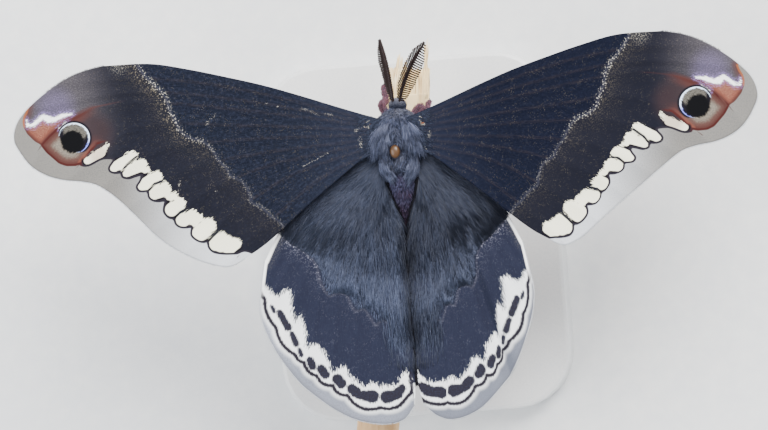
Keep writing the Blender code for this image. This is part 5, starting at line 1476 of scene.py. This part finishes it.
def make_antenna(side, material):
    """A jointed stem with two barbs on each side of every joint, each barb with its own short bristles."""
    rng = np.random.default_rng(21 if side == "left" else 22)
    line = antenna_line(side)
    share = np.linspace(0.0, 1.0, 220)
    joints = 1.0 + 0.1 * np.cos(share * math.pi * 2 * BARB_PAIRS)
    stem = RACHIS_RADIUS * (1.0 - 0.6 * share) * joints
    parts = [loop_surface(tube_rings(at_shares(line, share), stem, 10))]
    parts.append(ball(line[0], np.full(3, SCAPE_RADIUS), 10, 16))
    roll = ANTENNA_ROLL[side] * SIDES[side]
    t = np.linspace(0.0, 1.0, 8)[:, None]
    bristles = []
    for at in np.linspace(0.06, 0.97, BARB_PAIRS):
        here, ahead, behind = at_shares(line, [at, min(at + 0.02, 1.0), at - 0.02])
        along = unit(ahead - behind)
        flat = unit(np.cross(along, (0.0, 0.0, 1.0)))
        up = np.cross(flat, along)
        across = flat * math.cos(roll) - up * math.sin(roll)
        normal = up * math.cos(roll) + flat * math.sin(roll)
        for way, lift, lean, reach_share, radius in BARB_ROWS[side]:
            row = across * way * math.cos(BARB_VEE + lift) + normal * math.sin(BARB_VEE + lift)
            reach = BARB_LENGTH * reach_share * np.interp(at, *np.transpose(BARB_PROFILE))
            reach *= rng.uniform(0.94, 1.04)
            aim = unit(row + along * lean)
            spine = here + aim * reach * t + along * reach * 0.08 * t**2 - normal * reach * 0.06 * t**2
            thick = radius * (1.0 - 0.35 * np.sin(math.pi * 0.8 * t[:, 0]))
            parts.append(loop_surface(tube_rings(spine, thick, 5)))
            for s in rng.uniform(0.15, 1.0, 14):
                root = spine[int(s * 7)] + aim * rng.uniform(0.0, 0.1)
                bristles.append((root, along * rng.choice((-1.0, 1.0)), aim))
    verts, faces = joined(parts)
    obj = mesh_piece("antenna_" + side, verts, faces, material)
    roots, normals, lies = (np.array(column) for column in zip(*bristles))
    count = len(roots)
    uv = np.column_stack((rng.random(count) * 0.98, rng.random(count) * 0.98))
    make_tufts("antenna_bristles_" + side, roots, normals, unit(lies + normals * 0.9),
               rng.uniform(0.1, 0.2, count), np.full(count, 0.035), np.full(count, 0.1), np.zeros(count), uv,
               {"shade": 0.7 * rng.random(count), "pale": np.zeros(count)}, material, "antenna")
    return settle(obj, "antenna", "antenna_" + side)


def make_twig(material, end_material):
    """The stripped stem, with long grain in its surface and torn fibres at its front."""
    rng = np.random.default_rng(31)
    rows, sides = 260, 72
    y = np.linspace(TWIG_REAR, TWIG_SOLID_END, rows)
    turn = np.arange(sides) * 2 * math.pi / sides
    fibre = 0.045 * rng.standard_normal(sides)
    fibre = (fibre + np.roll(fibre, 1)) / 2
    bend = 0.05 * np.sin(y[:, None] * 0.4 + turn[None] * 2) + 0.03 * np.sin(y[:, None] * 1.3 + turn[None] * 5)
    radius = TWIG_RADIUS - 0.04 + fibre[None] * (0.8 + 0.4 * np.sin(y[:, None] * 0.7 + turn[None])) + bend
    ring = np.stack((radius * np.sin(turn), np.zeros((rows, sides)), radius * np.cos(turn)), axis=-1)
    rings = ring + twig_centre(y)[:, None]
    caps = [rings[0] * 0.03 + twig_centre(y[0]) * 0.97, rings[-1] * 0.03 + twig_centre(y[-1]) * 0.97]
    parts = [loop_surface(np.concatenate((caps[0][None], rings, caps[1][None])))]
    for angle in np.arange(RIM_FIBRES) * 2 * math.pi / RIM_FIBRES:
        deep = TWIG_RADIUS - rng.uniform(0.1, 0.45)
        start = TWIG_SOLID_END - rng.uniform(0.6, 3.4)
        parts.append(splinter(rng, deep * math.sin(angle), deep * math.cos(angle), start,
                              TWIG_FRONT + rng.normal(scale=0.35), rng.uniform(0.14, 0.3), 0.05, 3))
    for _ in range(INNER_FIBRES):
        angle, deep = rng.uniform(0, 2 * math.pi), TWIG_RADIUS * math.sqrt(rng.uniform(0.02, 0.8))
        end = min(TWIG_FRONT - 0.3 + rng.gamma(1.4, 0.4), 10.0)
        parts.append(splinter(rng, deep * math.sin(angle), deep * math.cos(angle), TWIG_SOLID_END - 0.6,
                              end, rng.uniform(0.1, 0.3), 0.1, 2))
    for x, z, start, end, width, pull, blunt in LONG_SPLINTERS:
        for k in range(7 if blunt < 5 else 13):
            aside, up = rng.normal(scale=width * 0.45, size=2)
            short = rng.uniform(0.0, 0.9 if blunt < 5 else 0.25) * (k > 0)
            wide = width * rng.uniform(0.35, 0.7)
            parts.append(splinter(rng, x + aside, z + up * 0.6, start, end - short, wide, pull, blunt))
    verts, faces = joined(parts)
    obj = mesh_piece("perch_twig", verts, faces, material)
    settle(obj, "twig_wood", "perch_twig")
    disc = ball(twig_centre(TWIG_REAR), np.array((2.2, 0.12, 2.2)), 12, 48)
    settle(mesh_piece("twig_cut_end", *disc, end_material), "twig_wood")


def splinter(rng, x, z, start, end, width, pull, blunt):
    """One torn fibre: a flat sliver along the twig, which tapers late where it is blunt."""
    t = np.linspace(0.0, 1.0, 8)
    inwards = (1.0 - pull * t**2)[:, None]
    wander = rng.normal(scale=0.03, size=2)
    spine = twig_centre(start + (end - start) * t) + np.array((x, 0.0, z)) * inwards
    spine[:, 0] += wander[0] * (end - start) * t**2
    spine[:, 2] += wander[1] * (end - start) * t**2
    flat = rng.uniform(0.4, 0.8)
    rings = tube_rings(spine, width * (1.0 - t**blunt) + 0.02, 6)
    middle = np.concatenate((spine[:1], spine, spine[-1:]))[:, None]
    rings = middle + (rings - middle) * (1.0, 1.0, flat)
    return loop_surface(rings)


def make_hindwing_hair(side, wing, material):
    """Long blue-grey hair that flows back from the body over the inner half of the hindwing."""
    rng = np.random.default_rng(41 if side == "left" else 42)
    locks = 420
    columns, rows = wing["plan"].shape[:2]
    tries = 60000
    c = rng.integers(0, columns, tries)
    r = np.searchsorted(WING_ROWS, rng.random(tries) ** 1.1 * 0.96)
    plan, flow = wing["plan"][c, r], wing["flow"][c, r]
    line_side = wing["line_side"][c, r]
    by_body = clamp01((4.2 - plan[:, 0]) / 3.0)
    room = np.where(by_body > rng.random(tries), 4.6 - line_side, -line_side)
    dense = clamp01(1.6 - plan[:, 0] / 11.0) * clamp01(1.0 - line_side / 4.6)
    keep = (room > 0.5) & (flow[:, 1] > 0.3) & (rng.random(tries) < dense)
    c, r, room = (values[keep][:16000] for values in (c, r, room))
    count = len(c)
    roots, plan = wing["top"][c, r], wing["plan"][c, r]
    along = wing["top"][c, np.minimum(r + 2, rows - 1)] - wing["top"][c, np.maximum(r - 1, 0)]
    clump = clumps(rng, roots, locks)
    lies = unit(along) + rng.normal(scale=0.05, size=(count, 3)) * (1.0, 1.0, 0.2)
    lies += rng.normal(scale=0.07, size=(locks, 3))[clump] * (1.0, 1.0, 0.2)
    lengths = np.minimum(rng.uniform(2.4, 5.0, count), room + 0.15)
    # painted shade: the right hindwing's hair is set darker than the left's
    level = HAIR_LEVEL[side] * np.interp(plan[:, 1], HAIR_PLACES, HAIR_LIFTS)
    near_line = clamp01(wing["line_side"][c, r] / 3.0)
    # painted shade: the hair darkens towards the wing's inner edge, into the gap between the two hindwings
    level *= (0.35 + 0.65 * clamp01((plan[:, 0] - 0.4) / 1.3)) * (1.0 - 0.5 * near_line)
    normals = wing["normals"][c, r]
    make_tufts("hindwing_hair_" + side, roots, normals, laid(lies, normals), lengths,
               rng.uniform(0.05, 0.085, count), rng.uniform(0.015, 0.05, count),
               rng.normal(scale=0.06, size=count), wing["uv"][c, r],
               {"shade": level * (0.7 + 0.3 * rng.random(count) + 0.3 * rng.random(locks)[clump]),
                "pale": 0.03 * rng.random(count)}, material, "hindwing", arch=0.3)


def make_inner_fringe(side, wing, material):
    """Hair along the inner edge of a hindwing, which closes the gap between the two wings, painted dark as
    painted shade in that gap.
    """
    rng = np.random.default_rng(43 if side == "left" else 44)
    count = 5200
    shares = rng.uniform(0.02, 0.9, count)
    roots, uv = at_shares(wing["top"][-1], shares), at_shares(wing["uv"][-1], shares)
    normals = np.tile((0.0, 0.0, 1.0), (count, 1))
    lies = np.column_stack((np.full(count, -0.55 * SIDES[side]), -np.ones(count), -0.25 * np.ones(count)))
    lies += rng.normal(scale=0.12, size=(count, 3))
    root_end = clamp01((0.3 - shares) / 0.15)
    lengths = rng.uniform(0.5, 1.1, count) * (1.0 + 0.9 * root_end)
    make_tufts("hindwing_inner_hair_" + side, roots - (0.0, 0.0, 0.05), normals, lies, lengths,
               rng.uniform(0.05, 0.09, count), rng.uniform(-0.25, 0.05, count),
               rng.normal(scale=0.1, size=count), uv,
               {"shade": rng.random(count) * 0.5, "pale": np.zeros(count)}, material, "hindwing")


def make_wing_base_hair(name, wing, reach, count, seed, marks, material, slot):
    """Hair over the root of a wing, thinning outwards, pale over the worn marks."""
    rng = np.random.default_rng(seed)
    columns, rows = wing["plan"].shape[:2]
    tries = count * 6
    c, r = rng.integers(0, columns, tries), rng.integers(1, 30, tries)
    out = wing["plan"][c, r][:, 0]
    keep = rng.random(tries) < clamp01(1.0 - (out - 2.0) / reach) ** 1.5
    c, r = c[keep][:count], r[keep][:count]
    count = len(c)
    along = wing["top"][c, r + 2] - wing["top"][c, r - 1]
    lies = unit(along) + rng.normal(scale=0.12, size=(count, 3)) * (1.0, 1.0, 0.3) + (0.0, -0.25, 0.0)
    marked = lobe_field(wing["plan"][c, r], marks) < 0.05
    make_tufts(name, wing["top"][c, r], wing["normals"][c, r], laid(lies, wing["normals"][c, r]),
               np.where(marked, 0.22, rng.uniform(0.35, 0.9, count)), rng.uniform(0.05, 0.08, count),
               rng.uniform(0.02, 0.07, count), rng.normal(scale=0.1, size=count), wing["uv"][c, r],
               {"shade": rng.random(count) * 0.5, "pale": marked * rng.uniform(0.4, 1.0, count)},
               material, slot)


def make_fringe(name, wing, seed, dark_end, material, slot):
    """The fine fringe of long scales along a wing's outer edge, dark up to a share of the edge."""
    rng = np.random.default_rng(seed)
    rim = wing["top"][:, -1]
    shares = np.sort(rng.random(2400))
    roots = at_shares(rim, shares)
    edge = unit(at_shares(rim, np.minimum(shares + 0.004, 1)) - at_shares(rim, np.maximum(shares - 0.004, 0)))
    normals = np.tile((0.0, 0.0, 1.0), (len(roots), 1))
    out = np.cross(edge, normals)
    inner = at_shares(wing["top"][:, -6], shares)
    out *= np.sign(np.sum(out * (roots - inner), axis=1, keepdims=True))
    uv = at_shares(wing["uv"][:, -1], shares)
    count = len(roots)
    roots = roots - normals * 0.05 - out * 0.12
    make_tufts(name, roots, normals, out + rng.normal(scale=0.12, size=(count, 3)) * (1, 1, 0.4),
               rng.uniform(0.16, 0.32, count), rng.uniform(0.06, 0.11, count), np.full(count, 0.02),
               rng.normal(scale=0.1, size=count), uv,
               {"shade": rng.random(count), "pale": 1.0 - 0.8 * (shares < dark_end)}, material, slot)


# Camera: tilted towards the moth's right and rolled, looking down on it from this far above
CAMERA_TILT, CAMERA_ROLL = math.radians(9.0), math.radians(4.5)
CAMERA_AWAY = 600.0
PIXELS_PER_MM = 8.4
IMAGE_WIDTH, IMAGE_HEIGHT = 768, 430
THORAX_PIXEL = (398, 138)
SENSOR = 36.0
FLOOR_HALF = 3000.0


def make_camera():
    right = np.array((math.cos(CAMERA_TILT), 0.0, -math.sin(CAMERA_TILT)))
    up = np.array((0.0, 1.0, 0.0))
    back = np.array((math.sin(CAMERA_TILT), 0.0, math.cos(CAMERA_TILT)))
    c, s = math.cos(CAMERA_ROLL), math.sin(CAMERA_ROLL)
    right, up = c * right - s * up, s * right + c * up
    across, down = IMAGE_WIDTH / 2 - THORAX_PIXEL[0], IMAGE_HEIGHT / 2 - THORAX_PIXEL[1]
    target = (right * across - up * down) / PIXELS_PER_MM
    place = (MOTH_AT + target + back * CAMERA_AWAY) * MM
    camera = bpy.data.cameras.new("camera")
    camera.sensor_width = SENSOR
    camera.lens = SENSOR * PIXELS_PER_MM * CAMERA_AWAY / IMAGE_WIDTH
    camera.clip_start, camera.clip_end = 0.01, 10.0
    obj = bpy.data.objects.new("camera", camera)
    obj.matrix_world = Matrix([(*row, at) for row, at in zip(np.column_stack((right, up, back)), place)]
                              + [(0.0, 0.0, 0.0, 1.0)])
    bpy.context.scene.collection.objects.link(obj)
    bpy.context.scene.camera = obj


def make_light(name, place, size, power, colour):
    lamp = bpy.data.lights.new(name, "AREA")
    lamp.shape, lamp.size, lamp.energy, lamp.color = "DISK", size, power, colour
    obj = bpy.data.objects.new(name, lamp)
    obj.location = place
    obj.rotation_euler = (Vector((0.0, 0.0, 0.02)) - Vector(place)).to_track_quat("-Z", "Y").to_euler()
    bpy.context.scene.collection.objects.link(obj)


def make_studio():
    verts = np.array([(-1, -1, 0), (1, -1, 0), (1, 1, 0), (-1, 1, 0)]) * FLOOR_HALF
    floor = mesh_piece("floor", verts - MOTH_AT, np.array([(0, 1, 2, 3)]), floor_finish, smooth=False)
    make_light("key", (0.3, 0.55, 0.72), 0.6, 23.0, (1.0, 0.99, 0.97))
    make_light("fill", (-0.6, -0.1, 0.6), 0.8, 8.5, (0.93, 0.96, 1.0))
    world = bpy.data.worlds.new("studio")
    world.use_nodes = True
    world.node_tree.nodes["Background"].inputs["Color"].default_value = (0.9, 0.94, 1.0, 1.0)
    world.node_tree.nodes["Background"].inputs["Strength"].default_value = 1.1
    bpy.context.scene.world = world


def dress_node(name, material):
    """Gives a node of the solids its finish."""
    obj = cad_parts[name]
    obj.data.materials.clear()
    obj.data.materials.append(material)


wing_hair = hair_material("wing_hair", "hair_dark", "hair_light", "frost_pale")
# painted shade: dark hair for the shaded gap between the hindwings
gap_painted_shade_hair = hair_material("gap_painted_shade_hair", "line_black", "hair_dark")
thorax_hair = hair_material("thorax_hair", "thorax_dark", "thorax_light")
abdomen_hair = hair_material("abdomen_hair", "maroon_dark", "maroon", "abdomen_blue")
leg_hair = hair_material("leg_hair", "mauve_dark", "mauve")
bristle_hair = hair_material("antenna_bristles", "antenna", "antenna_light")
fringe_hair = hair_material("fringe_scales", "border_dark", "border", "border_cool")
fore_material, hind_material = forewing_material(), hindwing_material()
eye_finish = eye_material()
skin = grained_material("body_skin", "hair_dark", "maroon_dark", 1800.0, (0.5, 0.2), 0.06,
                        specular_ior_level=0.3)
claw_horn = grained_material("claw_horn", "antenna", "mauve_dark", 6000.0, (0.25, 0.2), 0.01)
amber = grained_material("amber_shield", "amber", "amber_dark", 1400.0, (0.3, 0.2), 0.03,
                         specular_ior_level=0.4, coat_weight=0.12, coat_roughness=0.12)
panel = grained_material("stand_panel", "panel", "floor", 3000.0, (0.36, 0.14), 0.01, specular_ior_level=0.45)
floor_finish = grained_material("studio_floor", "floor", "panel", 500.0, (0.8, 0.1), 0.02)
rod_finish = rod_material()

for side in SIDES:
    fore = make_wing("forewing_" + side, FORE, fore_place, fore_markings, side, fore_material, "forewing")
    hind = make_wing("hindwing_" + side, HIND, hind_place, hind_markings, side, hind_material, "hindwing")
    make_hindwing_hair(side, hind, wing_hair)
    make_inner_fringe(side, hind, gap_painted_shade_hair)
    make_wing_base_hair("forewing_hair_" + side, fore, 2.6, 2600, 51, WORN[side], wing_hair, "forewing")
    make_fringe("forewing_fringe_" + side, fore, 61, 0.16, fringe_hair, "forewing")
    make_fringe("hindwing_fringe_" + side, hind, 62, 0.0, fringe_hair, "hindwing")
    make_eye(side, eye_finish)
    make_antenna(side, bristle_hair)
make_body_skin(skin)
make_thorax_coat(thorax_hair)
make_collar(thorax_hair)
make_long_tufts("shoulder", 5200, 12, thorax_hair)
make_long_tufts("rear", 3600, 17, thorax_hair)
make_head_coat(thorax_hair)
make_abdomen_coat(abdomen_hair)
make_leg_coat(leg_hair)
make_claws(claw_horn)
make_shield(amber)
make_twig(wood_material("twig_wood", "wood", "wood_dark", "wood_pale"),
          wood_material("twig_end", "pith", "wood_dark", "wood"))
dress_node("stand_base", panel)
for rod in ("stand_rod_front", "stand_rod_rear"):
    dress_node(rod, rod_finish)
make_studio()
make_camera()
